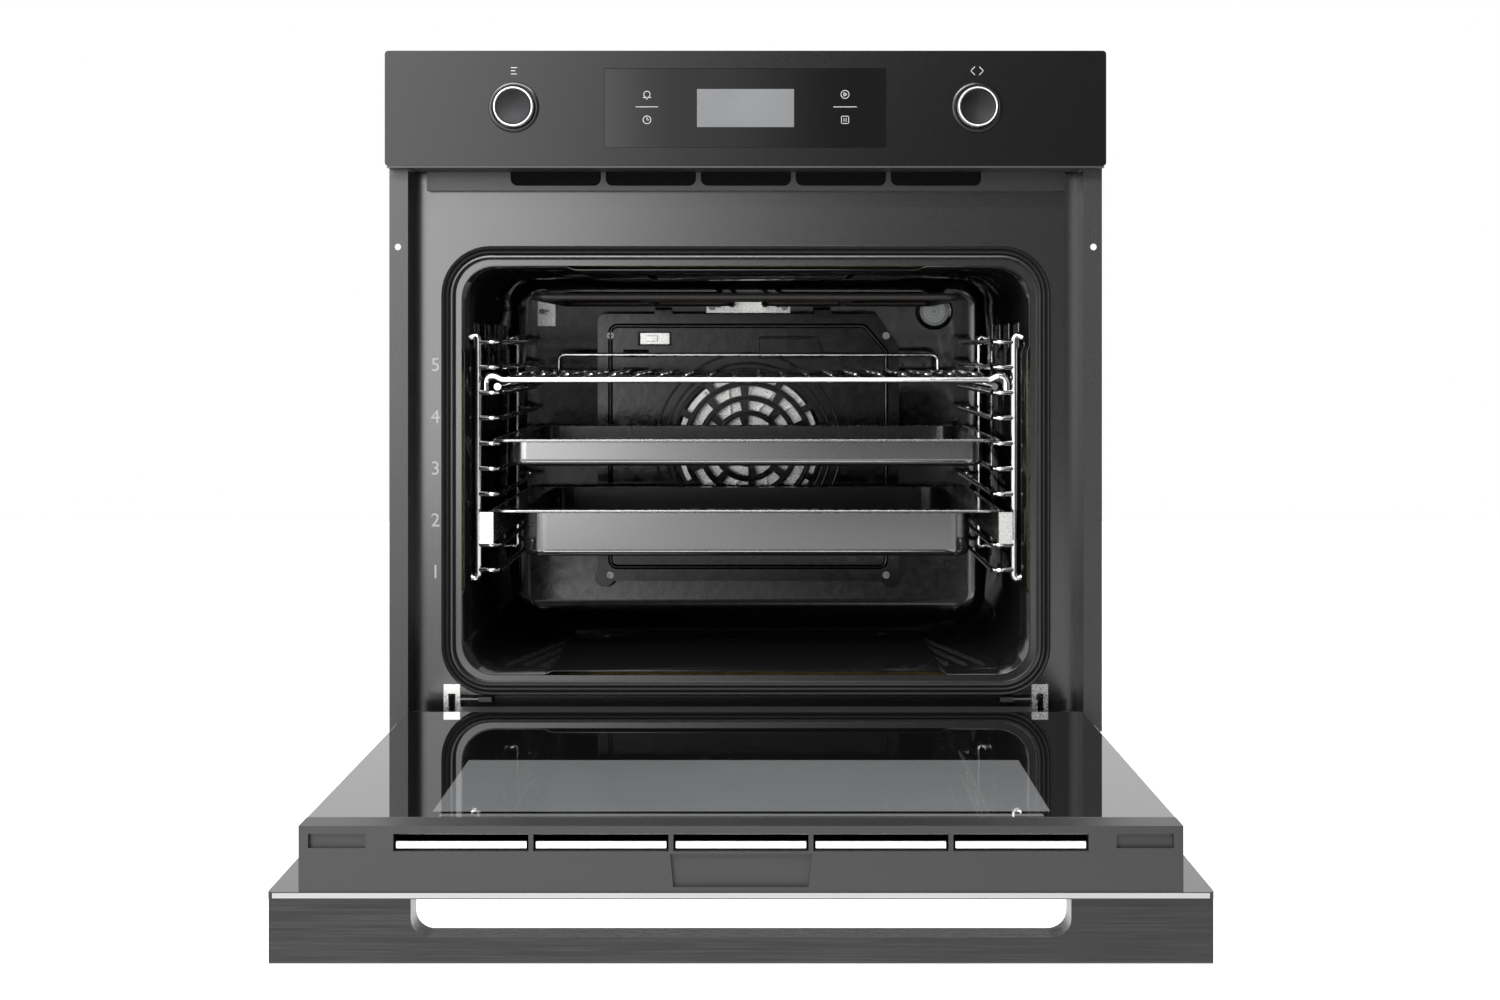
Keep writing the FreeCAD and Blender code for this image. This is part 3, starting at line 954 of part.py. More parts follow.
def strip_shell(x0, x1):
    """Box-shaped length of the vented strip, open towards the hinges, with a thicker end wall."""
    wall = TOP_STRIP_WALL
    block = box(x0, x1, DOOR_GAP[0], DOOR_INSIDE, STRIP_LOW, STRIP_HIGH)
    y0, y1 = DOOR_GAP[0] + wall, DOOR_INSIDE - wall
    hollow = box(x0 + wall, x1 - wall, y0, y1, STRIP_LOW - 1, STRIP_HIGH - TOP_STRIP_FACE)
    return block.cut(hollow)


def door_top_strip():
    """Vented strip along the closed door's top edge: five air slots and a pocket in the middle."""
    y0, y1 = DOOR_INSIDE - SLOT_LOW, DOOR_INSIDE - SLOT_HIGH
    pitch = 2 * SLOT_REACH / TOP_SLOTS
    starts = [-SLOT_REACH + pitch * k for k in range(TOP_SLOTS)]
    through = (STRIP_HIGH - TOP_STRIP_FACE - 1, STRIP_HIGH + 1)
    slots = [box(x + SLOT_BAR / 2, x + pitch - SLOT_BAR / 2, y0, y1, *through) for x in starts]
    y0, y1 = DOOR_INSIDE - POCKET_LOW, DOOR_INSIDE - POCKET_HIGH
    z = STRIP_HIGH - POCKET_DEPTH
    narrow = POCKET_HALF - POCKET_TAPER
    corners = [V(-narrow, y0, z), V(narrow, y0, z), V(POCKET_HALF, y1, z), V(-POCKET_HALF, y1, z)]
    pocket = Part.Face(Part.makePolygon(corners + corners[:1])).extrude(V(0, 0, POCKET_DEPTH + 1))
    return opened(cut(strip_shell(-STRIP_HALF, STRIP_HALF), slots + [pocket]))


def door_corner_cap(side):
    """Moulded end of the vented strip, with a small slot in its end wall."""
    shell = strip_shell(*span(side, STRIP_HALF, DOOR_HALF))
    x0, x1 = span(side, STRIP_HALF + CAP_SLOT_INSET, DOOR_HALF - CAP_SLOT_INSET)
    y1 = DOOR_INSIDE - SLOT_HIGH
    slot = box(x0, x1, y1 - CAP_SLOT, y1, STRIP_HIGH - POCKET_DEPTH, STRIP_HIGH + 1)
    z = HANDLE_HIGH - HANDLE_HEIGHT / 2
    head = HANDLE_SCREW_R * HEAD_RATIO + 0.5
    access = [rod((x, DOOR_GAP[0] - 1, z), (x, DOOR_GAP[0] + 5, z), head) for x in HANDLE_SCREWS]
    return cut(shell, [slot] + access)


def door_corner_caps():
    return opened(pair(door_corner_cap))


def door_bottom_strip():
    """Closes the door below the inner glass, between the hinges."""
    half, wall, low = BETWEEN_HINGES, TOP_STRIP_WALL, DOOR_LOW + 1
    body = box(-half, half, DOOR_GAP[0], DOOR_INSIDE, low, INNER_LOW)
    hollow = box(-half + wall, half - wall, DOOR_GAP[0] + wall, DOOR_INSIDE - wall, low + wall, INNER_LOW + 1)
    return opened(body.cut(hollow))


def door_handle():
    """Bar as wide as the door, with one long rounded finger window between grip and glass."""
    front, high = DOOR_FACE - HANDLE_PROJECTION, HANDLE_HIGH
    low = high - HANDLE_HEIGHT
    bar = box(-HALF, HALF, front, DOOR_FACE, low, high)
    long_edges = [e for e in bar.Edges if abs(e.tangentAt(e.FirstParameter).x) > 0.99]
    bar = bar.makeFillet(HANDLE_EDGE_R, [e for e in long_edges if e.Vertexes[0].Y < front + 0.01])
    reach = HALF - HANDLE_POST
    y0, y1 = front + HANDLE_GRIP, DOOR_FACE + 30
    window = rounded_flat(-reach, reach, y0, y1, HANDLE_WINDOW_R, low - 1, high + 1)
    return opened(cut(bar, [window] + [handle_screw(x) for x in HANDLE_SCREWS]))


def handle_screw(x):
    """Screw from inside the door, through the outer glass, into the handle's post."""
    z = HANDLE_HIGH - HANDLE_HEIGHT / 2
    return rod((x, DOOR_FACE - HANDLE_SCREW_DEPTH, z), (x, DOOR_GAP[0], z), HANDLE_SCREW_R)


def handle_screws():
    def with_head(x):
        z = HANDLE_HIGH - HANDLE_HEIGHT / 2
        head = rod((x, DOOR_GAP[0], z), (x, DOOR_GAP[0] + SCREW_HEAD, z), HANDLE_SCREW_R * HEAD_RATIO)
        return union([handle_screw(x), head])
    return opened(Part.makeCompound([with_head(x) for x in HANDLE_SCREWS]))


# ---- one file per sub-part --------------------------------------------------------------
NODES = {
    "base_plate": base_plate, "side_panels": side_panels, "top_cover": top_cover, "rear_cover": rear_cover,
    "cable_gland": cable_gland, "terminal_block": terminal_block,
    "front_frame": front_frame, "side_trims": side_trims, "cavity_liner": cavity_liner,
    "cavity_seal": cavity_seal, "insulation_blanket": insulation_blanket,
    "grill_element": grill_element, "grill_terminal_plate": grill_terminal_plate, "cavity_screws": cavity_screws,
    "lower_element": lower_element, "ring_element": ring_element, "convection_fan": convection_fan,
    "fan_motor": fan_motor, "fan_cover": fan_cover,
    "lamp_holder": lamp_holder, "lamp_bulb": lamp_bulb, "lamp_glass": lamp_glass,
    "temperature_probe": temperature_probe,
    "air_duct": air_duct, "cooling_fan_motor": cooling_fan_motor, "cooling_fan_wheel": cooling_fan_wheel,
    "side_ladders": side_ladders, "runner_rails": runner_rails, "runner_middles": runner_middles,
    "left_runner_slider": lambda: runner_slider(-1), "right_runner_slider": lambda: runner_slider(1),
    "wire_rack": wire_rack, "baking_tray": baking_tray, "deep_pan": deep_pan,
    "control_panel": control_panel, "display_glass": display_glass, "display_module": display_module,
    "control_board": control_board, "knob_bezels": knob_bezels,
    "function_knob_shaft": lambda: knob_shaft(-1), "function_knob_ring": lambda: knob_ring(-1),
    "function_knob_cap": lambda: knob_cap(-1),
    "value_knob_shaft": lambda: knob_shaft(1), "value_knob_ring": lambda: knob_ring(1),
    "value_knob_cap": lambda: knob_cap(1),
    "hinge_receptacles": hinge_receptacles, "hinge_arms": hinge_arms, "hinge_channels": hinge_channels,
    "hinge_pins": hinge_pins,
    "left_hinge_lever": lambda: hinge_lever(-1), "right_hinge_lever": lambda: hinge_lever(1),
    "door_outer_glass": door_outer_glass, "door_middle_glass": door_middle_glass,
    "door_inner_glass": door_inner_glass, "door_side_rails": door_side_rails, "door_top_strip": door_top_strip,
    "door_corner_caps": door_corner_caps, "door_bottom_strip": door_bottom_strip,
    "door_handle": door_handle, "handle_screws": handle_screws,
}


def main():
    os.makedirs("parts", exist_ok=True)
    for name, make in NODES.items():
        shape = make()
        size = f"{len(shape.Solids):3d} solids {shape.Volume / 1000:9.2f} cm3"
        print(f"{name:24s} {size}  valid {shape.isValid()}")
        shape.exportStep(f"parts/{name}.step")


main()
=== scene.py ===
# %% [markdown]
# # A built-in wall oven, open and ready to load
# The engineering model is fixed: it says where every part sits and how it moves.  This lesson
# dresses it.  Plain parts keep their shape and get a finish; parts whose shape carries the
# look (bent wires, the pressed cavity, the gasket's lips, the knurled knobs) are modelled again
# in the same places, and ride on the same bodies.

# %% Load the fixed frame
import math

import bmesh
import bpy
from mathutils import Matrix, Vector


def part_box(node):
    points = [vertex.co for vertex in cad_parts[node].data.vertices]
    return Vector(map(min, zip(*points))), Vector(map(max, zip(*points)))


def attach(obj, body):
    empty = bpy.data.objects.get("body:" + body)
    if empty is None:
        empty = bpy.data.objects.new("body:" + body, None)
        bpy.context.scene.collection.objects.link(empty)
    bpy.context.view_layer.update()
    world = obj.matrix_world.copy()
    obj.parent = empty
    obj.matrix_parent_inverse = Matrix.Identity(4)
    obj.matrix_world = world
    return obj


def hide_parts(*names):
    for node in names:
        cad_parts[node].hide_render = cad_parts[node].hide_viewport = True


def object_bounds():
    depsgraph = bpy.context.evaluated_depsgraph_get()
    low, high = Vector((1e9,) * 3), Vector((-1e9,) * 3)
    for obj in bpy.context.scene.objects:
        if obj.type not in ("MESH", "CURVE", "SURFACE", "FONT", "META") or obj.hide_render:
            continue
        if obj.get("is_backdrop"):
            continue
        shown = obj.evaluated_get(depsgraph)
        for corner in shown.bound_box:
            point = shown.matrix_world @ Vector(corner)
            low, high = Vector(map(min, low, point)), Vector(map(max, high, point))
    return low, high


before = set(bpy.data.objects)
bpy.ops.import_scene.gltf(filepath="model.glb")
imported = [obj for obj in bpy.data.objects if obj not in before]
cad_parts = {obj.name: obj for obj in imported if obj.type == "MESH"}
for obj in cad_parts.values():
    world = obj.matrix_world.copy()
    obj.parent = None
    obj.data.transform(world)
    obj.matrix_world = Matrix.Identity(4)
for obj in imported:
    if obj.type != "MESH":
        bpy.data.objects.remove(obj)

cad_low, cad_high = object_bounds()
MM = 0.001

# %% [markdown]
# ## Small tools
# A finish is built from few nodes.  `add` makes one node, sets its inputs and links it, so each
# material reads as a short recipe.  Colours are written as sRGB hex, as a paint chart gives
# them, and turned to linear light by one function.

# %% Colour, node and material helpers
def linear(code):
    """sRGB hex to linear RGBA."""
    channels = [int(code[i:i + 2], 16) / 255 for i in (1, 3, 5)]
    return [c / 12.92 if c <= 0.04045 else ((c + 0.055) / 1.055) ** 2.4 for c in channels] + [1.0]


def add(tree, kind, values=None, links=None, **settings):
    """One node: settings are its properties, values its inputs, links sockets that feed it."""
    node = tree.nodes.new(kind)
    for name, value in settings.items():
        setattr(node, name, value)
    for name, value in (values or {}).items():
        node.inputs[name].default_value = value
    for name, socket in (links or {}).items():
        tree.links.new(socket, node.inputs[name])
    return node


def finish_of(name, colour, metallic=0.0, roughness=0.4, **values):
    """A new material with its uniform values set on the shader itself."""
    material = bpy.data.materials.new(name)
    material.use_nodes = True
    material.diffuse_color = linear(colour)
    shader = material.node_tree.nodes["Principled BSDF"]
    shader.inputs["Base Color"].default_value = linear(colour)
    shader.inputs["Metallic"].default_value = metallic
    shader.inputs["Roughness"].default_value = roughness
    for key, value in values.items():
        shader.inputs[key.replace("_", " ").title().replace("Ior", "IOR")].default_value = value
    return material, material.node_tree, shader


def grain(tree, shader, size_mm, depth_mm, rough, stretch=(1, 1, 1), detail=3.0):
    """Fine unevenness of a real size: it moves the roughness between two values and lifts a bump."""
    place = add(tree, "ShaderNodeTexCoord")
    scaled = add(tree, "ShaderNodeMapping", {"Scale": stretch}, {"Vector": place.outputs["Object"]})
    noise = add(tree, "ShaderNodeTexNoise", {"Scale": 1 / (size_mm * MM), "Detail": detail},
                {"Vector": scaled.outputs["Vector"]})
    spread = add(tree, "ShaderNodeMapRange",
                 {"From Min": 0.3, "From Max": 0.7, "To Min": rough[0], "To Max": rough[1]},
                 {"Value": noise.outputs["Fac"]})
    tree.links.new(spread.outputs["Result"], shader.inputs["Roughness"])
    bump = add(tree, "ShaderNodeBump", {"Strength": 1.0, "Distance": depth_mm * MM},
               {"Height": noise.outputs["Fac"]})
    tree.links.new(bump.outputs["Normal"], shader.inputs["Normal"])
    return scaled.outputs["Vector"], noise.outputs["Fac"]


def tint(tree, shader, factor, dark, light):
    """Base colour that runs between two tones with a factor socket."""
    mix = tree.nodes.new("ShaderNodeMix")
    mix.data_type = "RGBA"
    mix.inputs[6].default_value = linear(dark)
    mix.inputs[7].default_value = linear(light)
    tree.links.new(factor, mix.inputs[0])
    tree.links.new(mix.outputs[2], shader.inputs["Base Color"])


print("helpers ready")

# %% [markdown]
# ## Enamel, paint and print
# Oven cavities are coated with vitreous enamel: glass fired on steel.  It is black, very glossy,
# slightly wavy like orange peel, and carries tiny pale flecks.  The fascia and frame are sprayed
# and satin, so their highlights are broad.

# %% Vitreous enamel and paints
FLECK, CLOUD = 2.4, 70.0  # spacing of the enamel's flecks and of the slow tone changes, in mm


def vitreous_enamel():
    material, tree, shader = finish_of("vitreous enamel", "#0C0C0D", roughness=0.1, ior=1.42)
    scaled, _ = grain(tree, shader, 9.0, 0.06, (0.07, 0.16))
    fleck = add(tree, "ShaderNodeTexVoronoi", {"Scale": 1 / (FLECK * MM)}, {"Vector": scaled})
    dot = add(tree, "ShaderNodeMapRange", {"From Min": 0.10, "From Max": 0.16, "To Min": 1.0, "To Max": 0.0},
              {"Value": fleck.outputs["Distance"]})
    tint(tree, shader, dot.outputs["Result"], "#0B0B0C", "#2A2A2B")
    return material


def satin_paint(name, colour, light, rough, **values):
    material, tree, shader = finish_of(name, colour, roughness=rough[0], **values)
    scaled, _ = grain(tree, shader, 0.9, 0.012, rough, detail=2.0)
    cloud = add(tree, "ShaderNodeTexNoise", {"Scale": 1 / (CLOUD * MM), "Detail": 4.0}, {"Vector": scaled})
    tint(tree, shader, cloud.outputs["Fac"], colour, light)
    return material


enamel = vitreous_enamel()
frame_enamel = satin_paint("semi-gloss ground enamel", "#070708", "#0A0A0B", (0.14, 0.2), ior=1.75)
fascia_paint = satin_paint("satin printed fascia glass", "#060607", "#080809", (0.14, 0.2), ior=1.37)
powder_coat = satin_paint("powder-coated steel", "#161617", "#1C1C1D", (0.26, 0.36))
print("enamels and paints ready")

# %% [markdown]
# ## Metals
# A brushed metal is a mirror scratched one way, so its grain is a noise stretched along the
# brushing.  Galvanised sheet shows zinc crystals, 4 to 10 mm across, each with its own tone.

# %% Brushed, plated and galvanised metals
SPANGLE = 6.0  # size of a zinc crystal on galvanised sheet, in mm
ALL_WAYS, ALONG_X, ALONG_Y = (1, 1, 1), (0.02, 1, 1), (1, 0.02, 1)


def brushed(name, colour, light, rough, stretch, size_mm=1.2, metallic=1.0):
    material, tree, shader = finish_of(name, colour, metallic=metallic)
    _, noise = grain(tree, shader, size_mm, 0.01, rough, stretch, detail=4.0)
    tint(tree, shader, noise, colour, light)
    return material


def galvanised():
    material, tree, shader = finish_of("galvanised steel sheet", "#8A8E90", metallic=0.9)
    scaled, _ = grain(tree, shader, 3.0, 0.01, (0.32, 0.5))
    cells = add(tree, "ShaderNodeTexVoronoi", {"Scale": 1 / (SPANGLE * MM)}, {"Vector": scaled})
    grey = add(tree, "ShaderNodeSeparateColor", links={"Color": cells.outputs["Color"]})
    tint(tree, shader, grey.outputs["Red"], "#7C8082", "#8F9394")
    return material


handle_metal = brushed("brushed anodised aluminium", "#2C2C2D", "#444445", (0.2, 0.3), ALONG_X,
                       metallic=0.9)
stainless = brushed("brushed stainless steel", "#B4B4B2", "#D4D4D2", (0.22, 0.36), ALONG_Y)
chrome = brushed("chrome-plated wire", "#C4C4C4", "#DEDEDE", (0.05, 0.12), ALL_WAYS, size_mm=6.0)
# Bright steel for the pans' rolled rims: a painted highlight along their crowns.
rim_highlight_steel = brushed("bright rim steel for painted highlight", "#8C8C8C", "#B0B0B0", (0.2, 0.34), ALL_WAYS, size_mm=5.0)
dull_aluminium = brushed("die-cast aluminium", "#9C9C9C", "#B2B2B2", (0.4, 0.55), ALL_WAYS)
zinc = brushed("zinc-plated steel", "#5E5E60", "#8B8B8C", (0.25, 0.4), ALL_WAYS)
sheath = brushed("oxidised heater sheath", "#262423", "#3A3735", (0.35, 0.6), ALL_WAYS, size_mm=4.0,
                 metallic=0.7)
galvanised_sheet = galvanised()
print("metals ready")

# %% [markdown]
# ## Plastics, rubber, wool and ceramic
# These are dull, so their own colour and a fine grain carry them: a moulded part takes the mould's
# texture, rubber is smoother, wool is all depth.  One recipe serves them all, with other numbers.

# %% Moulded, cured and woven materials
def moulded(name, colour, light, size_mm, depth_mm, rough, **values):
    material, tree, shader = finish_of(name, colour, **values)
    _, noise = grain(tree, shader, size_mm, depth_mm, rough)
    tint(tree, shader, noise, colour, light)
    return material


abs_black = moulded("moulded ABS", "#19191A", "#202021", 0.5, 0.02, (0.35, 0.5))
strip_plastic = moulded("moulded heat-resistant PBT", "#1A1A1B", "#222223", 0.5, 0.02, (0.34, 0.44))
silicone = moulded("black silicone gasket", "#161617", "#1D1D1E", 1.2, 0.03, (0.3, 0.42))
wool = moulded("mineral wool blanket", "#8F7F4E", "#C8B987", 2.0, 1.2, (0.9, 1.0))
steatite = moulded("steatite ceramic", "#E4DFD3", "#EFEBE2", 1.5, 0.03, (0.5, 0.65))
board_green = moulded("glass-epoxy circuit board", "#12402A", "#1C5638", 2.0, 0.02, (0.35, 0.5))
gloss_black = moulded("polished black polymer", "#0A0A0B", "#0E0E0F", 2.0, 0.004, (0.12, 0.2), ior=1.4)
# A near-black sheet behind the outlet slots: painted shade.
shade_black = moulded("black sheet of painted shade", "#020202", "#050505", 1.0, 0.02, (0.7, 0.9), ior=1.2)
pan_enamel = satin_paint("thick glossy enamel of the pans", "#121213", "#1A1A1B", (0.1, 0.16), ior=2.3)
# The pressings' enamel is lighter than the walls' and varies at random: the lift is a painted sheen.
sheen_enamel = moulded("lightened enamel on the pressings for painted sheen", "#1C1C1D", "#29292A", 6.0, 0.05, (0.2, 0.34),
                      ior=1.6)
spun_black = moulded("spun black aluminium", "#121213", "#1C1C1D", 1.0, 0.01, (0.2, 0.3), metallic=0.8)
print("moulded materials ready")

# %% [markdown]
# ## Glass
# The door's inner pane is heat-reflecting glass with a black ceramic border fired on its back:
# it mirrors strongly, so its index is set high.  Inside the border a clear window looks paler.

# %% Panes
WAVE, HAZE = 45.0, 160.0  # length of the glass's slow waves and of its changes of tone, in mm


def pane(name, colour, light, rough=(0.01, 0.03), **values):
    material, tree, shader = finish_of(name, colour, **values)
    scaled, _ = grain(tree, shader, WAVE, 0.004, rough)
    cloud = add(tree, "ShaderNodeTexNoise", {"Scale": 1 / (HAZE * MM)}, {"Vector": scaled})
    tint(tree, shader, cloud.outputs["Fac"], colour, light)
    return material


mirror_pane = pane("heat-reflecting glass with fired border", "#0A0A0B", "#0D0D0E", ior=2.9)
window_pane = pane("clear heat-reflecting glass", "#5C5D5E", "#6A6B6C", ior=2.4)
black_glass = pane("black-printed float glass", "#131314", "#161617", ior=1.52)
touch_glass = pane("smoked touch glass", "#070708", "#050506", ior=1.44)
edge_glass = pane("ground glass edge", "#E6ECEA", "#D5DCDA", (0.3, 0.5))
lamp_lens = pane("pressed lamp glass", "#D9DCDC", "#B4B8B8", (0.05, 0.15), transmission_weight=0.2,
                 ior=1.6)
display_face = pane("backlit display", "#4A4B4C", "#525354", (0.25, 0.35))
white_print = pane("white screen print", "#A8A8A9", "#9C9C9D", (0.4, 0.5))
grey_print = pane("grey screen print", "#8C8C8D", "#848485", (0.4, 0.5))
print("glass ready")

# %% [markdown]
# ## Give every carried-over part its finish
# Each material takes a list of parts, so one place shows what everything is made of, and a part
# left out is found at once.

# %% Finish by part
FINISHES = {
    galvanised_sheet: ["base_plate", "side_panels", "top_cover", "rear_cover"],
    frame_enamel: ["front_frame"],
    enamel: ["cavity_liner", "fan_cover"],
    pan_enamel: ["baking_tray", "deep_pan"],
    fascia_paint: ["control_panel"],
    powder_coat: ["side_trims", "left_hinge_lever", "right_hinge_lever", "air_duct"],
    strip_plastic: ["door_side_rails", "door_top_strip", "door_corner_caps", "door_bottom_strip"],
    handle_metal: ["door_handle"],
    stainless: ["grill_terminal_plate", "convection_fan", "temperature_probe", "hinge_receptacles",
                "hinge_arms", "hinge_channels", "hinge_pins", "runner_rails", "runner_middles",
                "left_runner_slider", "right_runner_slider", "function_knob_shaft", "value_knob_shaft"],
    chrome: ["side_ladders", "wire_rack", "function_knob_ring", "value_knob_ring"],
    dull_aluminium: ["fan_motor", "cooling_fan_motor", "cooling_fan_wheel"],
    zinc: ["cavity_screws", "handle_screws"],
    sheath: ["grill_element", "lower_element", "ring_element"],
    abs_black: ["cable_gland", "terminal_block", "display_module", "knob_bezels"],
    silicone: ["cavity_seal"],
    wool: ["insulation_blanket"],
    steatite: ["lamp_holder"],
    board_green: ["control_board"],
    spun_black: ["function_knob_cap", "value_knob_cap"],
    mirror_pane: ["door_inner_glass"],
    black_glass: ["door_outer_glass"],
    edge_glass: ["door_middle_glass"],
    touch_glass: ["display_glass"],
    lamp_lens: ["lamp_glass", "lamp_bulb"],
}
for material, names in FINISHES.items():
    for name in names:
        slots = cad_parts[name].data.materials
        slots.clear()
        slots.append(material)
unfinished = set(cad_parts) - {name for names in FINISHES.values() for name in names}
print("parts without a finish:", sorted(unfinished))

# %% [markdown]
# ## Building pieces
# A bmesh becomes a finished object: doubles merged, normals outward, faces smooth where the
# angle between them is small.  It takes the materials it is given and rides its body.

# %% From bmesh to piece
def piece(name, bm, body, materials, replaces=(), smooth=40):
    bmesh.ops.remove_doubles(bm, verts=bm.verts, dist=1e-6)
    bmesh.ops.recalc_face_normals(bm, faces=bm.faces)
    mesh = bpy.data.meshes.new(name)
    bm.to_mesh(mesh)
    bm.free()
    for material in materials if isinstance(materials, (list, tuple)) else [materials]:
        mesh.materials.append(material)
    for face in mesh.polygons:
        face.use_smooth = True
    mesh.set_sharp_from_angle(angle=math.radians(smooth))
    item = bpy.data.objects.new(name, mesh)
    bpy.context.scene.collection.objects.link(item)
    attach(item, body)
    if replaces:
        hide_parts(*replaces)
    even = item.modifiers.new("even_normals", "WEIGHTED_NORMAL")
    even.keep_sharp = True
    print(f"{name}: {len(mesh.polygons)} faces")
    return item


def bent_bar(bm, points, radius, bend, sides=10, steps=5):
    """Round wire: straight runs are extruded, bends are spun about the inside of the corner."""
    points = [Vector(p) * MM for p in points]
    radius, bend = radius * MM, bend * MM
    heading = (points[1] - points[0]).normalized()
    turn = heading.to_track_quat("Z", "Y").to_matrix().to_4x4()
    start = bmesh.ops.create_circle(bm, radius=radius, segments=sides,
                                    matrix=Matrix.Translation(points[0]) @ turn)
    ring = list(dict.fromkeys(e for v in start["verts"] for e in v.link_edges))
    ends = [ring]
    here = points[0]
    for before, corner, after in zip(points, points[1:], points[2:] + [None]):
        into = (corner - before).normalized()
        out = (after - corner).normalized() if after is not None else None
        angle = into.angle(out) if out is not None else 0.0
        back = bend * math.tan(angle / 2)
        moved = bmesh.ops.extrude_edge_only(bm, edges=ring)["geom"]
        verts = [v for v in moved if isinstance(v, bmesh.types.BMVert)]
        bmesh.ops.translate(bm, verts=verts, vec=corner - into * back - here)
        ring = [e for e in moved if isinstance(e, bmesh.types.BMEdge) and all(v in verts for v in e.verts)]
        here = corner - into * back
        if out is not None and angle > 1e-4:
            axis = into.cross(out).normalized()
            centre = here + axis.cross(into) * bend
            spun = bmesh.ops.spin(bm, geom=ring, cent=centre, axis=axis, angle=angle, steps=steps,
                                  use_duplicate=False)
            ring = [e for e in spun["geom_last"] if isinstance(e, bmesh.types.BMEdge)]
            here = corner + out * back
    ends.append(ring)
    for loop in ends:
        bmesh.ops.edgeloop_fill(bm, edges=loop)


def block(bm, low, high):
    """Box between two corners, in millimetres."""
    low, high = Vector(low) * MM, Vector(high) * MM
    size = Matrix.Diagonal(high - low).to_4x4()
    bmesh.ops.create_cube(bm, size=1.0, matrix=Matrix.Translation((low + high) / 2) @ size)


def drum(bm, centre, axis, radius, depth, segments=48, radius2=None):
    """Closed cylinder or cone along an axis, its middle at centre, in millimetres."""
    turn = Vector(axis).to_track_quat("Z", "Y").to_matrix().to_4x4()
    bmesh.ops.create_cone(bm, cap_ends=True, segments=segments, radius1=radius * MM,
                          radius2=(radius if radius2 is None else radius2) * MM, depth=depth * MM,
                          matrix=Matrix.Translation(Vector(centre) * MM) @ turn)


def soften(bm, width, segments=2, angle=35):
    """Bevel every edge sharper than an angle."""
    sharp = [e for e in bm.edges if len(e.link_faces) == 2 and e.calc_face_angle(0) > math.radians(angle)]
    bmesh.ops.bevel(bm, geom=sharp, offset=width * MM, segments=segments, profile=0.5, affect="EDGES",
                    material=-1, clamp_overlap=True)


def mm_box(node):
    low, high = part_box(node)
    return low / MM, high / MM


print("builders ready")

# %% [markdown]
# ## Wire ladders
# Each side ladder is bent from chrome-plated steel wire: two uprights with turned ends, and
# rungs that leave the front upright, run along the wall and return to the rear upright.

# %% Side ladders
ladder_low, ladder_high = mm_box("side_ladders")
RUNG_R, UPRIGHT_R = 2.25, 3.0
RUNG_X, UPRIGHT_X = 213.0, 232.0
FRONT_POST, BACK_POST = ladder_low.y + 15, ladder_high.y - 15
RUNG_COUNT, RUNG_PITCH, TOP_RUNG = 10, 21.9, ladder_high.z - 12.0
RUNNER_RUNG = 7  # the runner hangs in this rung's place


def ladder(side):
    bm = bmesh.new()
    for post in (FRONT_POST, BACK_POST):
        top, low = ladder_high.z, ladder_low.z
        wall = side * (ladder_high.x - 0.5)
        bent_bar(bm, [(wall, post, top - 8), (side * UPRIGHT_X, post, top - 4),
                      (side * UPRIGHT_X, post, low + 2), (wall, post, low + 6)], UPRIGHT_R, 3.2)
    for level in range(RUNG_COUNT):
        z = TOP_RUNG - RUNG_PITCH * level
        if level == RUNNER_RUNG:
            continue
        front, back = ladder_low.y + RUNG_R, ladder_high.y - RUNG_R
        bent_bar(bm, [(side * UPRIGHT_X, FRONT_POST, z), (side * RUNG_X, front, z),
                      (side * RUNG_X, back, z), (side * UPRIGHT_X, BACK_POST, z)], RUNG_R, 7.0)
    return bm


both = ladder(-1)
other = ladder(1)
spare = bpy.data.meshes.new("spare")
other.to_mesh(spare)
other.free()
both.from_mesh(spare)
bpy.data.meshes.remove(spare)
piece("side_ladders_wire", both, "oven", chrome, ["side_ladders"])

# %% [markdown]
# ## Wire rack
# The front bar rises at both ends and hooks down, so the rack can't be pulled out by accident.

# %% Wire rack
rack_low, rack_high = mm_box("wire_rack")
BAR_R, WIRE_R, WIRE_COUNT = 3.0, 1.5, 20
bar_z = rack_low.z + BAR_R * 3
wire_z = bar_z + BAR_R + WIRE_R
bm = bmesh.new()
y_front, y_back = rack_low.y + BAR_R, rack_high.y - BAR_R
reach = rack_high.x
for side in (-1, 1):
    bent_bar(bm, [(side * RUNG_X, rack_low.y + 2, rack_low.z + BAR_R),
                  (side * RUNG_X, rack_high.y, rack_low.z + BAR_R)], BAR_R, 6)
bent_bar(bm, [(-reach + BAR_R, y_front, bar_z - 9), (-reach + BAR_R, y_front, bar_z + 7),
              (-RUNG_X + 4, y_front, bar_z), (RUNG_X - 4, y_front, bar_z),
              (reach - BAR_R, y_front, bar_z + 7), (reach - BAR_R, y_front, bar_z - 9)],
         BAR_R, 6.0, sides=14)
for y in (y_back, y_front + (y_back - y_front) * 0.36, y_front + (y_back - y_front) * 0.7):
    bent_bar(bm, [(-RUNG_X, y, bar_z), (RUNG_X, y, bar_z)], BAR_R * 0.85, 6)
span = RUNG_X - 10
for k in range(WIRE_COUNT):
    x = -span + 2 * span * k / (WIRE_COUNT - 1)
    bent_bar(bm, [(x, rack_low.y + 0.5, wire_z - 3), (x, rack_low.y + 5, wire_z),
                  (x, rack_high.y - 1, wire_z)], WIRE_R, 3.0, sides=8)
half = RUNG_X - 22
guard_z = rack_high.z - 2
bent_bar(bm, [(-half, y_back, bar_z), (-half, y_back, guard_z), (half, y_back, guard_z),
              (half, y_back, bar_z)], 2.0, 6.0)
piece("wire_rack_welded", bm, "rack", chrome, ["wire_rack"])
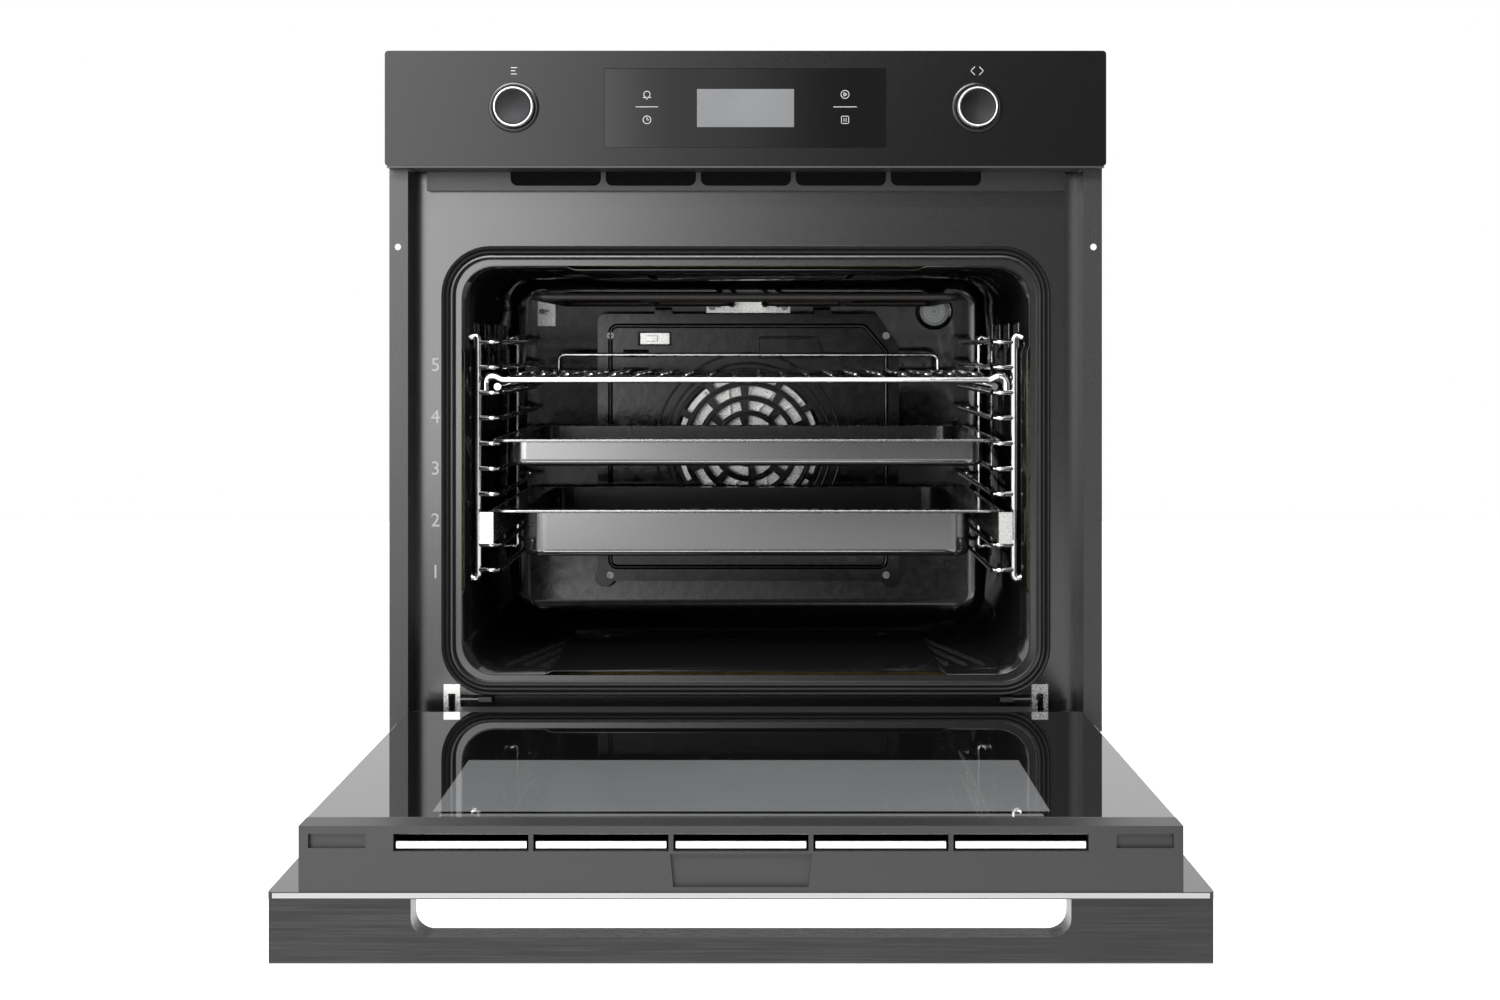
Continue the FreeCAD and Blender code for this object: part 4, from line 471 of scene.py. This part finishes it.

# %% [markdown]
# ## Rolled rims
# The edge of each pressed pan is rolled over a wire; its crown is coloured as bright steel, a painted
# highlight.

# %% Pan rims
RIM_R, RIM_CORNER = 1.4, 15.0
for node, body in (("baking_tray", "tray"), ("deep_pan", "pan")):
    low, high = mm_box(node)
    z = high.z - 0.5
    x0, x1, y0, y1 = low.x + RIM_R, high.x - RIM_R, low.y + RIM_R, high.y - RIM_R
    bm = bmesh.new()
    bent_bar(bm, [(0, y0, z), (x1, y0, z), (x1, y1, z), (x0, y1, z), (x0, y0, z), (-0.2, y0, z)],
             RIM_R, RIM_CORNER)
    piece(node + "_rim", bm, body, rim_highlight_steel)

# %% [markdown]
# ## Door gasket
# The gasket is extruded silicone with three lips.  One cross-section is pulled along the four
# straight sides and spun round the four corners, which is how the real one is laid.

# %% Gasket
seal_low, seal_high = mm_box("cavity_seal")
SEAL_CORNER, LIP_PITCH = 42.0, 4.0


def ring_sweep(bm, profile, low, high, corner, steps=10):
    """Profile points are (distance outside the path, y); the path is a rounded rectangle in XZ."""
    x0, x1, z0, z1 = (v * MM for v in (low[0], high[0], low[1], high[1]))
    corner *= MM
    start = [bm.verts.new((x1 + out * MM, y * MM, z0 + corner)) for out, y in profile]
    loop = [bm.edges.new((a, b)) for a, b in zip(start, start[1:] + start[:1])]
    sides = [(Vector((0, 0, z1 - z0 - 2 * corner)), Vector((x1 - corner, 0, z1 - corner))),
             (Vector((-(x1 - x0 - 2 * corner), 0, 0)), Vector((x0 + corner, 0, z1 - corner))),
             (Vector((0, 0, -(z1 - z0 - 2 * corner))), Vector((x0 + corner, 0, z0 + corner))),
             (Vector((x1 - x0 - 2 * corner, 0, 0)), Vector((x1 - corner, 0, z0 + corner)))]
    for straight, centre in sides:
        moved = bmesh.ops.extrude_edge_only(bm, edges=loop)["geom"]
        verts = [v for v in moved if isinstance(v, bmesh.types.BMVert)]
        bmesh.ops.translate(bm, verts=verts, vec=straight)
        loop = [e for e in moved if isinstance(e, bmesh.types.BMEdge) and all(v in verts for v in e.verts)]
        spun = bmesh.ops.spin(bm, geom=loop, cent=centre, axis=(0, -1, 0), angle=math.pi / 2, steps=steps)
        loop = [e for e in spun["geom_last"] if isinstance(e, bmesh.types.BMEdge)]
    bmesh.ops.remove_doubles(bm, verts=bm.verts, dist=2e-5)


bm = bmesh.new()
back, front = seal_high.y, seal_low.y
lips = [(0, back)]
for k in range(3):
    start = -k * LIP_PITCH
    lips += [(start - 0.2, back - 3.2), (start - 0.7, front + 1.4 - 0.45 * k), (start - 2.0, front + 0.2),
             (start - 3.3, front + 1.6), (start - 3.9, back - 3.0)]
lips += [(-3 * LIP_PITCH, back)]
ring_sweep(bm, lips, (seal_low.x, seal_low.z), (seal_high.x, seal_high.z), SEAL_CORNER)
piece("door_gasket", bm, "oven", silicone, ["cavity_seal"], smooth=60)

# %% [markdown]
# ## Pressed cavity
# The real liner is deep-drawn steel.  A cube gives the box; its long edges are bevelled to the
# corner radius, and the flat walls are inset twice: once for the border, once to raise or sink
# the pressing.

# %% Cavity liner
liner_low, liner_high = mm_box("cavity_liner")
WALL, LONG_CORNER, BACK_CORNER = 1.0, 27.0, 14.0
bm = bmesh.new()
inner_low = liner_low + Vector((WALL, 0, WALL))
inner_high = liner_high - Vector((WALL, WALL, WALL))
block(bm, inner_low, inner_high)
long_edges = [e for e in bm.edges if abs((e.verts[0].co - e.verts[1].co).y) > 0.1]
bmesh.ops.bevel(bm, geom=long_edges, offset=LONG_CORNER * MM, segments=10, profile=0.5, affect="EDGES",
                material=-1)
front_faces = [f for f in bm.faces if f.normal.y < -0.9]
bmesh.ops.delete(bm, geom=front_faces, context="FACES")
back_face = max(bm.faces, key=lambda f: f.calc_center_median().y)
bmesh.ops.bevel(bm, geom=list(back_face.edges), offset=BACK_CORNER * MM, segments=5, profile=0.5,
                affect="EDGES", material=-1)


def press(bm, face, border, slope, depth):
    """Press a flat wall: a border, then a sloping step to a raised or sunken field."""
    bmesh.ops.inset_region(bm, faces=[face], thickness=border * MM, use_even_offset=True)
    bmesh.ops.inset_region(bm, faces=[face], thickness=slope * MM, use_even_offset=True)
    bmesh.ops.translate(bm, verts=list(face.verts), vec=face.normal * depth * MM)


def wall_facing(bm, axis, sign):
    """The largest face among those that lie furthest out along one axis."""
    reach = [f.calc_center_median()[axis] * sign for f in bm.faces]
    flat = [f for f, out in zip(bm.faces, reach) if max(reach) - out < 1e-4]
    return max(flat, key=lambda f: f.calc_area())


bm.normal_update()
# Floor, right wall, left wall and roof: axis, side, border, width of the slope, depth of the field.
PRESSINGS = ((2, -1, 42, 7, -3.0), (0, 1, 40, 6, -2.0), (0, -1, 40, 6, -2.0), (2, 1, 60, 8, -3.0))
for axis, sign, border, slope, depth in PRESSINGS:
    press(bm, wall_facing(bm, axis, sign), border, slope, depth)
bmesh.ops.recalc_face_normals(bm, faces=bm.faces)
liner = piece("cavity_liner_pressed", bm, "oven", enamel, ["cavity_liner"], smooth=50)
thick = liner.modifiers.new("sheet", "SOLIDIFY")
thick.thickness = WALL * MM
thick.offset = 1.0

# %% [markdown]
# ## Knobs
# A knob is a turned metal ring with fine grip ridges round a spun black cap.  A small profile is
# spun about the shaft; every second column of its rim is then pulled in to cut the ridges.

# %% Knobs
RIDGES, GRIP_WALL, GROOVE = 60, 1.6, 0.35


def lathe(bm, profile, centre, steps=96):
    """Spin a closed profile of (radius, y) points about a line along Y, in millimetres."""
    cx, cz = centre
    verts = [bm.verts.new((cx * MM + r * MM, y * MM, cz * MM)) for r, y in profile]
    edges = [bm.edges.new((a, b)) for a, b in zip(verts, verts[1:] + verts[:1])]
    bmesh.ops.spin(bm, geom=verts + edges, cent=(cx * MM, 0, cz * MM), axis=(0, 1, 0),
                   angle=2 * math.pi, steps=steps, use_merge=True)


def knob_ring(body, node):
    low, high = mm_box(node)
    cx, cz = (low.x + high.x) / 2, (low.z + high.z) / 2
    outer, front, back = (high.x - low.x) / 2, low.y, high.y
    inner = outer - GRIP_WALL
    bm = bmesh.new()
    profile = [(inner, front + 0.4), (inner + 0.3, front), (outer - 0.6, front),
               (outer - 0.15, front + 0.5), (outer, front + 1.4), (outer, back - 0.6),
               (outer - 0.6, back), (inner, back)]
    lathe(bm, profile, (cx, cz), RIDGES * 2)
    for v in bm.verts:
        out = Vector((v.co.x / MM - cx, v.co.z / MM - cz))
        step = round(math.atan2(out.y, out.x) / math.pi * RIDGES)
        if out.length > outer - 0.3 and step % 2:
            v.co.x -= out.x / out.length * GROOVE * MM
            v.co.z -= out.y / out.length * GROOVE * MM
    piece(node + "_knurled", bm, body, polished, [node], smooth=25)


def knob_cap(body, node):
    low, high = mm_box(node)
    cx, cz = (low.x + high.x) / 2, (low.z + high.z) / 2
    radius, front, back = (high.x - low.x) / 2, low.y, high.y
    bm = bmesh.new()
    profile = [(0.0, front + 1.5), (radius - 1.6, front + 0.25), (radius - 0.9, front),
               (radius - 0.15, front + 0.2), (radius, front + 0.7), (radius, back), (0.0, back)]
    lathe(bm, profile, (cx, cz))
    piece(node + "_spun", bm, body, spun_face(cx, cz), [node], smooth=30)


TOOL_PITCH = 0.5  # distance between two turning marks, in mm


def spun_face(cx, cz):
    """Black aluminium with the fine rings that a lathe tool leaves."""
    material, tree, shader = finish_of(f"spun black aluminium {cx:.0f}", "#1A1A1B", metallic=0.9,
                                       roughness=0.28, anisotropic=0.8)
    place = add(tree, "ShaderNodeTexCoord")
    centred = add(tree, "ShaderNodeMapping", {"Location": (-cx * MM, 0, -cz * MM), "Scale": (1, 0, 1)},
                  {"Vector": place.outputs["Object"]})
    distance = add(tree, "ShaderNodeVectorMath", links={0: centred.outputs["Vector"]}, operation="LENGTH")
    rings = add(tree, "ShaderNodeMath", {1: 2 * math.pi / (TOOL_PITCH * MM)}, {0: distance.outputs["Value"]},
                operation="MULTIPLY")
    wave = add(tree, "ShaderNodeMath", links={0: rings.outputs["Value"]}, operation="SINE")
    bump = add(tree, "ShaderNodeBump", {"Strength": 0.6, "Distance": 0.02 * MM},
               {"Height": wave.outputs["Value"]})
    around = add(tree, "ShaderNodeTangent", direction_type="RADIAL", axis="Y")
    tree.links.new(bump.outputs["Normal"], shader.inputs["Normal"])
    tree.links.new(around.outputs["Tangent"], shader.inputs["Tangent"])
    return material


polished = brushed("diamond-turned aluminium", "#C9C9CA", "#E9E9EA", (0.2, 0.32), ALL_WAYS, size_mm=0.8,
                   metallic=0.5)
for which in ("function", "value"):
    knob_ring(f"{which}_knob", f"{which}_knob_ring")
    knob_cap(f"{which}_knob", f"{which}_knob_cap")

# %% [markdown]
# ## Bezels
# The knob stands in a moulded cup whose rim is rolled over the fascia.

# %% Knob bezels
bezel_low, bezel_high = mm_box("knob_bezels")
RIM_WIDTH, CUP_FLOOR, SHAFT_HOLE = 3.4, 1.5, 4.2
bm = bmesh.new()
bezel_r = (bezel_high.z - bezel_low.z) / 2
for side in (-1, 1):
    cx, cz = side * (bezel_high.x - bezel_r), (bezel_high.z + bezel_low.z) / 2
    inner = bezel_r - RIM_WIDTH
    front = bezel_low.y
    floor_y = bezel_high.y - CUP_FLOOR
    profile = [(SHAFT_HOLE, bezel_high.y), (SHAFT_HOLE, floor_y), (inner, floor_y),
               (inner, front + 0.9), (inner + 0.7, front + 0.15), (inner + 1.7, front),
               (bezel_r - 0.5, front + 0.35), (bezel_r, front + 1.2), (bezel_r, bezel_high.y)]
    lathe(bm, profile, (cx, cz))
piece("knob_bezels_rolled", bm, "oven", gloss_black, ["knob_bezels"], smooth=35)

# %% [markdown]
# ## Display and symbols
# The symbols are screen printed: films a twentieth of a millimetre thick on the glass.

# %% Display, symbols and index marks
glass_low, _ = mm_box("display_glass")
FILM = 0.05


def ring_mark(bm, cx, cz, radius, line, y):
    lathe(bm, [(radius - line / 2, y - FILM), (radius + line / 2, y - FILM),
               (radius + line / 2, y + FILM), (radius - line / 2, y + FILM)], (cx, cz), 40)


def stroke(bm, a, b, line, y):
    """Straight printed line between two (x, z) points."""
    a, b = Vector(a), Vector(b)
    middle, reach = (a + b) / 2, (b - a)
    turn = Matrix.Rotation(-math.atan2(reach.y, reach.x), 4, "Y")
    size = Matrix.Diagonal(Vector((reach.length + line, 2 * FILM, line)) * MM).to_4x4()
    place = Matrix.Translation(Vector((middle.x, y, middle.y)) * MM)
    bmesh.ops.create_cube(bm, size=1.0, matrix=place @ turn @ size)


bm = bmesh.new()
LCD_X, LCD_LOW, LCD_HIGH = 40.0, 532.0, 563.4
block(bm, (-LCD_X, glass_low.y - 0.3, LCD_LOW), (LCD_X, glass_low.y + FILM, LCD_HIGH))
piece("display_window", bm, "oven", display_face)

bm = bmesh.new()
y, line = glass_low.y, 0.45
left, right, upper, middle, lower = -81.3, 82.1, 559.0, 548.7, 538.0
stroke(bm, (left - 9, middle), (left + 9, middle), line, y)
stroke(bm, (right - 9.5, middle), (right + 9.5, middle), line, y)
ring_mark(bm, left, upper, 2.6, line, y)
stroke(bm, (left - 3.2, upper - 2.6), (left + 3.2, upper - 2.6), line, y)
stroke(bm, (left - 0.8, upper - 3.7), (left + 0.8, upper - 3.7), line, y)
ring_mark(bm, left, lower, 3.2, line, y)
stroke(bm, (left, lower), (left, lower + 2.0), line, y)
stroke(bm, (left, lower), (left + 1.5, lower), line, y)
ring_mark(bm, right, upper, 3.3, line, y)
TRIANGLE = (((-1, -1.5), (-1, 1.5)), ((-1, 1.5), (1.6, 0)), ((1.6, 0), (-1, -1.5)))
FRAME_AND_BARS = (((-3, -3), (3, -3)), ((3, -3), (3, 3)), ((3, 3), (-3, 3)), ((-3, 3), (-3, -3)),
                  ((-0.9, -1.3), (-0.9, 1.3)), ((0.9, -1.3), (0.9, 1.3)))
for a, b in TRIANGLE:
    stroke(bm, (right + a[0], upper + a[1]), (right + b[0], upper + b[1]), line, y)
for a, b in FRAME_AND_BARS:
    stroke(bm, (right + a[0], lower + a[1]), (right + b[0], lower + b[1]), line, y)
panel_y = mm_box("control_panel")[0].y
knob_x, mark_z = (bezel_high.x - bezel_r), 578.4
for row in (-2.6, 0.0, 2.6):
    stroke(bm, (-knob_x - 2.2, mark_z + row), (-knob_x + (2.2 if row else 0.8), mark_z + row), 0.55, panel_y)
for side in (-1, 1):
    for z in (-3.2, 3.2):
        stroke(bm, (knob_x + side * 5.2, mark_z), (knob_x + side * 2.0, mark_z + z), 0.5, panel_y)
piece("printed_symbols", bm, "oven", white_print)

# %% [markdown]
# ## Level numbers
# The shelf levels are pressed into the frame beside the opening, counted from the bottom.

# %% Level numbers
frame_low, _ = mm_box("front_frame")
LEVEL_X, LEVEL_STEP, LEVEL_ONE, NUMBER_HEIGHT = -263.0, 43.9, 159.5, 11.5
for level in range(1, 6):
    words = bpy.data.curves.new(f"level_{level}", "FONT")
    words.body = str(level)
    words.size = NUMBER_HEIGHT * 1.4 * MM
    words.extrude = 0.35 * MM
    words.bevel_depth = 0.12 * MM
    words.align_x, words.align_y = "CENTER", "CENTER"
    source = bpy.data.objects.new(f"level_{level}_outline", words)
    mesh = bpy.data.meshes.new_from_object(source)
    bpy.data.objects.remove(source)
    place = Vector((LEVEL_X, frame_low.y - 0.2, LEVEL_ONE + LEVEL_STEP * (level - 1))) * MM
    mesh.transform(Matrix.Translation(place) @ Matrix.Rotation(math.pi / 2, 4, "X"))
    bm = bmesh.new()
    bm.from_mesh(mesh)
    bpy.data.meshes.remove(mesh)
    piece(f"level_number_{level}", bm, "oven", grey_print, smooth=30)

# %% [markdown]
# ## Fascia lip and air outlet
# A moulded lip closes the joint under the fascia.  Behind each slot of the cooling-air outlet
# lies a black sheet with fine strands: painted shade, so the slots read as dark as a shaded duct.

# %% Fascia lip and outlet shade
panel_low, panel_high = mm_box("control_panel")
bm = bmesh.new()
LIP_HEIGHT, LIP_GAP, LIP_BACK, LIP_SHORTER = 1.4, 0.05, -1.8, 17.6
lip_z, lip_top = panel_low.z - LIP_HEIGHT, panel_low.z - LIP_GAP
block(bm, (panel_low.x + 1.5, panel_low.y + 0.6, lip_z), (panel_high.x - 1.5, LIP_BACK, lip_top))
block(bm, (panel_low.x + LIP_SHORTER, LIP_BACK, lip_z),
      (panel_high.x - LIP_SHORTER, frame_low.y - 4.2, lip_top))
piece("fascia_lip", bm, "oven", abs_black)
bm = bmesh.new()
SHADE_HALF, SHADE_TALL, SHADE_CELLS, SHADE_STRAND = 201.0, 12.0, 100, 0.35
shade_y = frame_low.y - 2.9
block(bm, (-SHADE_HALF, shade_y, lip_z - SHADE_TALL), (SHADE_HALF, shade_y + 0.3, lip_z))
for k in range(SHADE_CELLS + 1):
    x = -SHADE_HALF + 2 * SHADE_HALF * k / SHADE_CELLS
    block(bm, (x - SHADE_STRAND, shade_y - 0.4, lip_z - SHADE_TALL), (x + SHADE_STRAND, shade_y, lip_z))
piece("outlet_painted_shade", bm, "oven", shade_black)

# %% [markdown]
# ## Door panes
# The inner pane keeps a black fired border; the clear field shows as a paler window.  The strip
# along the free edge lets light in at its slots, where the middle pane's ground edge shows.

# %% Door window and pane edges
pane_low, pane_high = mm_box("door_inner_glass")
bm = bmesh.new()
block(bm, pane_low, pane_high)
soften(bm, 0.6)
piece("inner_pane", bm, "door", mirror_pane, ["door_inner_glass"], smooth=5)
bm = bmesh.new()
WINDOW_X, WINDOW_NEAR, WINDOW_FAR = 200.0, -429.0, -245.0
under, over = pane_high.z - 0.02, pane_high.z + FILM
block(bm, (-WINDOW_X, WINDOW_NEAR, under), (WINDOW_X, WINDOW_FAR, over))
block(bm, (-WINDOW_X + 6, WINDOW_NEAR - 16, under), (WINDOW_X - 6, WINDOW_NEAR - 8, over))
piece("door_window", bm, "door", window_pane)

strip_low, strip_high = mm_box("door_top_strip")
bm = bmesh.new()
SLOT_X, SLOT_COUNT = 220.0, 5
pitch = 2 * SLOT_X / SLOT_COUNT
for k in range(SLOT_COUNT):
    x = -SLOT_X + pitch * k
    block(bm, (x + 3, strip_low.y + 2.2, strip_high.z - 14.5),
          (x + pitch - 3, strip_low.y + 4.5, strip_high.z - 10.5))
piece("slot_glass_edges", bm, "door", edge_glass)
# A grey film along the outer pane's top edge stands in for the bright edge: a painted highlight.
outer_low, outer_high = mm_box("door_outer_glass")
bm = bmesh.new()
block(bm, (outer_low.x + 3, outer_low.y - FILM, outer_high.z - 3.9),
      (outer_high.x - 3, outer_low.y + 0.1, outer_high.z - 0.6))
piece("outer_glass_edge_highlight", bm, "door", grey_print)

# %% [markdown]
# ## Fan cover pressing
# Rings are rolled into the grille to stiffen it, and a bright bracket shows in the window above.

# %% Fan cover details
cover_low, cover_high = mm_box("fan_cover")
FAN_Z = (liner_low.z + liner_high.z) / 2 + 4
bm = bmesh.new()
ROLLED_RINGS = (19.5, 33.5, 48.5, 63.5, 78.0, 84.0, 94.0)


def half_round(radius, wide, tall, y):
    """Half-round bead at a radius, standing out towards the front, as (radius, y) points."""
    angles = [math.pi * k / 6 for k in range(7)]
    return [(radius + wide * math.cos(a), y - tall * max(0.0, math.sin(a))) for a in angles]


for radius in ROLLED_RINGS:
    lathe(bm, half_round(radius, 1.3, 0.9, cover_low.y + 0.2), (0, FAN_Z), 72)
drum(bm, (0, cover_low.y - 0.6, FAN_Z), (0, 1, 0), 8.0, 2.4)
piece("fan_grille_rings", bm, "oven", enamel, smooth=60)

bm = bmesh.new()
left, right, y = cover_low.x + 13, cover_high.x - 13, cover_low.y
top, low = cover_high.z - 12, cover_low.z + 14
bent_bar(bm, [(left, y, (top + low) / 2), (left, y, top), (right - 22, y, top), (right, y, top - 26),
              (right, y, low), (left, y, low), (left, y, (top + low) / 2 - 0.5)], 2.4, 7.0, sides=12)
x0, x1, z0, z1 = 10, 78, top - 32, top - 12
bent_bar(bm, [(x0 + 12, y, z1), (x1 - 8, y, z1), (x1, y, z0), (x0, y, z0), (x0, y, z1),
              (x0 + 11.5, y, z1)], 1.3, 2.5)
for x in (-86, 76):
    block(bm, (x - 9, y - 1.5, cover_high.z - 3), (x + 9, y + 6, cover_high.z + 4))
for side in (-1, 1):
    drum(bm, (side * (cover_high.x - 7), y + 1, cover_low.z + 4), (0, 1, 0), 10, 3.0)
    drum(bm, (side * (cover_high.x - 7), y - 0.8, cover_low.z + 4), (0, 1, 0), 5.5, 1.6, radius2=4.0)
piece("fan_cover_ridge", bm, "oven", enamel, smooth=50)

bm = bmesh.new()
block(bm, (-110, y + 4, cover_high.z - 31), (-80, y + 5.5, cover_high.z - 19))
block(bm, (-104, y + 2.5, cover_high.z - 28), (-92, y + 4, cover_high.z - 22))
soften(bm, 0.5)
piece("element_bracket", bm, "oven", stainless)

# %% [markdown]
# ## Lamp lens
# The lamp's cover glass is pressed with rings and spokes that spread the light.  A screwed collar
# holds it.

# %% Lamp lens
lens_low, lens_high = mm_box("lamp_glass")
lamp_x, lamp_z, lamp_y = (lens_low.x + lens_high.x) / 2, (lens_low.z + lens_high.z) / 2, lens_low.y
collar = (lens_high.x - lens_low.x) / 2
SPOKES, SPOKE_AT, SPOKE_SIZE = 16, 7.5, (5.0, 1.2, 0.9)
bm = bmesh.new()
for radius in (3.0, 5.5, 8.0, 10.5):
    lathe(bm, half_round(radius, 0.9, 0.8, lamp_y + 0.3), (lamp_x, lamp_z), 48)
drum(bm, (lamp_x, lamp_y + 0.9, lamp_z), (0, 1, 0), 11.5, 1.6)
spoke = Matrix.Diagonal(Vector(SPOKE_SIZE) * MM).to_4x4()
for k in range(SPOKES):
    angle = 2 * math.pi * k / SPOKES
    place = Vector((lamp_x + SPOKE_AT * math.cos(angle), lamp_y + 0.2, lamp_z + SPOKE_AT * math.sin(angle)))
    turn = Matrix.Rotation(-angle, 4, "Y")
    bmesh.ops.create_cube(bm, size=1.0, matrix=Matrix.Translation(place * MM) @ turn @ spoke)
piece("lamp_lens_prisms", bm, "oven", edge_glass, smooth=50)
bm = bmesh.new()
COLLAR = ((-4.5, 4.2), (-4.0, 2.2), (-2.0, 1.6), (-0.4, 2.6), (0.2, 4.5), (0.2, 14.0), (-0.3, 14.0),
          (-0.8, 4.6))  # distance out from the lens's edge, and depth
lathe(bm, [(collar + out, lamp_y + deep) for out, deep in COLLAR], (lamp_x, lamp_z), 64)
piece("lamp_collar", bm, "oven", enamel, smooth=40)

# %% [markdown]
# ## Floor and wall pressings
# The chamber's floor has a raised middle field with three fanned ribs on each side; the side
# walls have long upright pressings.  They stiffen the sheet, and their round shoulders catch light.

# %% Ribs pressed into the chamber
def rib(bm, a, b, width, height, normal):
    """Straight raised rib between two points on a wall, standing along the wall's normal."""
    a, b, normal = Vector(a), Vector(b), Vector(normal)
    along = (b - a).normalized()
    across = normal.cross(along)
    turn = Matrix((along, across, normal)).transposed().to_4x4()
    size = Matrix.Diagonal(((b - a).length * MM, width * MM, height * MM, 1.0))
    made = bmesh.ops.create_cube(bm, size=1.0, matrix=Matrix.Translation((a + b) / 2 * MM) @ turn @ size)
    upper = [e for v in made["verts"] for e in v.link_edges
             if all((w.co - (a + b) / 2 * MM).dot(normal) > 0 for w in e.verts)]
    bmesh.ops.bevel(bm, geom=list(dict.fromkeys(upper)), offset=height * 0.8 * MM, segments=4, profile=0.5,
                    affect="EDGES", material=-1)


floor_z, side_x = inner_low.z - 1.5, inner_high.x - 0.5
UP = (0, 0, 1)
FAN_OF_RIBS = ((176, 112), (192, 124), (208, 136))  # half-widths at the front and at the back
FIELD_NEAR, FIELD_FAR = (160, 96), (98, 372)  # corners of the raised middle field, x and y
bm = bmesh.new()
for side in (-1, 1):
    for near, far in FAN_OF_RIBS:
        rib(bm, (side * near, 82, floor_z), (side * far, 385, floor_z), 9.0, 7.0, UP)
    rib(bm, (side * FIELD_NEAR[0], FIELD_NEAR[1], floor_z), (side * FIELD_FAR[0], FIELD_FAR[1], floor_z),
        6.0, 6.0, UP)
for half_width, y in (FIELD_NEAR, FIELD_FAR):
    rib(bm, (-half_width, y, floor_z), (half_width, y, floor_z), 6.0, 6.0, UP)
for y in (330, 350):
    rib(bm, (-70, y, floor_z), (70, y, floor_z), 5.0, 5.0, UP)
for side in (-1, 1):
    for y in (120, 200, 280, 350):
        rib(bm, (side * side_x, y, 330), (side * side_x, y, 372), 26, 4.0, (-side, 0, 0))
# The ribs take the lighter enamel: a painted sheen on the chamber's floor and walls.
piece("cavity_ribs", bm, "oven", sheen_enamel, smooth=60)

# %% [markdown]
# ## Camera, floor and light
# The object hangs in the middle of a white studio.  The world is white behind it and, in front,
# runs from a bright left to a dark right, so flat enamel and glass shade from light to dark.

# %% Camera, floor and light
bpy.ops.mesh.primitive_plane_add(size=30)
floor = bpy.context.object
floor.name = "studio_floor"
FLOOR_DROP = 0.9  # metres below the object, so that no shadow of it shows
floor.data.transform(Matrix.Translation((0, 0, cad_low.z - FLOOR_DROP)))
floor_material, tree, shader = finish_of("pale studio floor", "#FEFEFE", roughness=0.9,
                                         emission_strength=0.25)
shader.inputs["Emission Color"].default_value = (1, 1, 1, 1)
grain(tree, shader, 40, 0.05, (0.7, 0.9))
floor.data.materials.append(floor_material)
floor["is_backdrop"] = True

fascia_low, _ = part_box("control_panel")
camera = bpy.data.objects.new("camera", bpy.data.cameras.new("camera"))
bpy.context.scene.collection.objects.link(camera)
CAMERA_BACK, CAMERA_HEIGHT, CAMERA_SIDE = 1.9, 0.3515, 0.012
camera.location = (CAMERA_SIDE, fascia_low.y - CAMERA_BACK, CAMERA_HEIGHT)
camera.rotation_euler = (math.pi / 2, 0, 0)
camera.data.sensor_width = 36.0
camera.data.lens = 55.3
camera.data.shift_x = -0.0067
camera.data.shift_y = -0.1027
bpy.context.scene.camera = camera


def softbox(name, place, target, size, watts):
    light = bpy.data.objects.new(name, bpy.data.lights.new(name, "AREA"))
    light.data.shape = "RECTANGLE"
    light.data.size, light.data.size_y = size
    light.data.energy = watts
    light.location = place
    light.rotation_euler = (Vector(target) - Vector(place)).to_track_quat("-Z", "Y").to_euler()
    bpy.context.scene.collection.objects.link(light)


softbox("key_left", (-1.9, -3.0, 1.1), (-0.1, 0, 0.35), (1.5, 2.2), 60)
softbox("side_left", (-2.4, -0.6, 0.9), (0, -0.2, 0.3), (1.2, 1.8), 25)
softbox("top", (0.0, -0.9, 2.6), (0, 0.1, 0.3), (2.4, 1.6), 30)
softbox("into_cavity", (-0.3, -1.7, 1.3), (0, 0.2, 0.12), (1.2, 0.4), 34)
world = bpy.data.worlds.new("white studio")
world.use_nodes = True
tree = world.node_tree
way = add(tree, "ShaderNodeTexCoord")
parts = add(tree, "ShaderNodeSeparateXYZ", links={0: way.outputs["Generated"]})
across = add(tree, "ShaderNodeMapRange", {"From Min": -1.0, "From Max": 1.0}, {"Value": parts.outputs["X"]})
ramp = add(tree, "ShaderNodeValToRGB", links={"Fac": across.outputs["Result"]})
ramp.color_ramp.interpolation = "EASE"
LEFT_TO_RIGHT = ((0.0, 0.08), (0.25, 0.12), (0.36, 0.8), (0.41, 1.2), (0.45, 0.85), (0.485, 0.26),
                 (0.52, 0.06), (1.0, 0.03))
while len(ramp.color_ramp.elements) < len(LEFT_TO_RIGHT):
    ramp.color_ramp.elements.new(0.5)
for element, (place, tone) in zip(ramp.color_ramp.elements, LEFT_TO_RIGHT):
    element.position = place
    element.color = (tone, tone, tone, 1)
FRONT_LIGHT = 5.0
front = add(tree, "ShaderNodeMath", {1: FRONT_LIGHT}, {0: ramp.outputs["Color"]}, operation="MULTIPLY")
behind = add(tree, "ShaderNodeMapRange", {"From Min": -0.3, "From Max": 0.1}, {"Value": parts.outputs["Y"]})
strength = add(tree, "ShaderNodeMix", {"B": 1.0},
               {"Factor": behind.outputs["Result"], "A": front.outputs["Value"]})
background = tree.nodes["Background"]
background.inputs["Color"].default_value = (1, 1, 1, 1)
tree.links.new(strength.outputs["Result"], background.inputs["Strength"])
bpy.context.scene.world = world
bpy.context.scene.view_settings.view_transform = "Standard"

# %% Close: measure the finished scene's bounds
low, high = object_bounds()
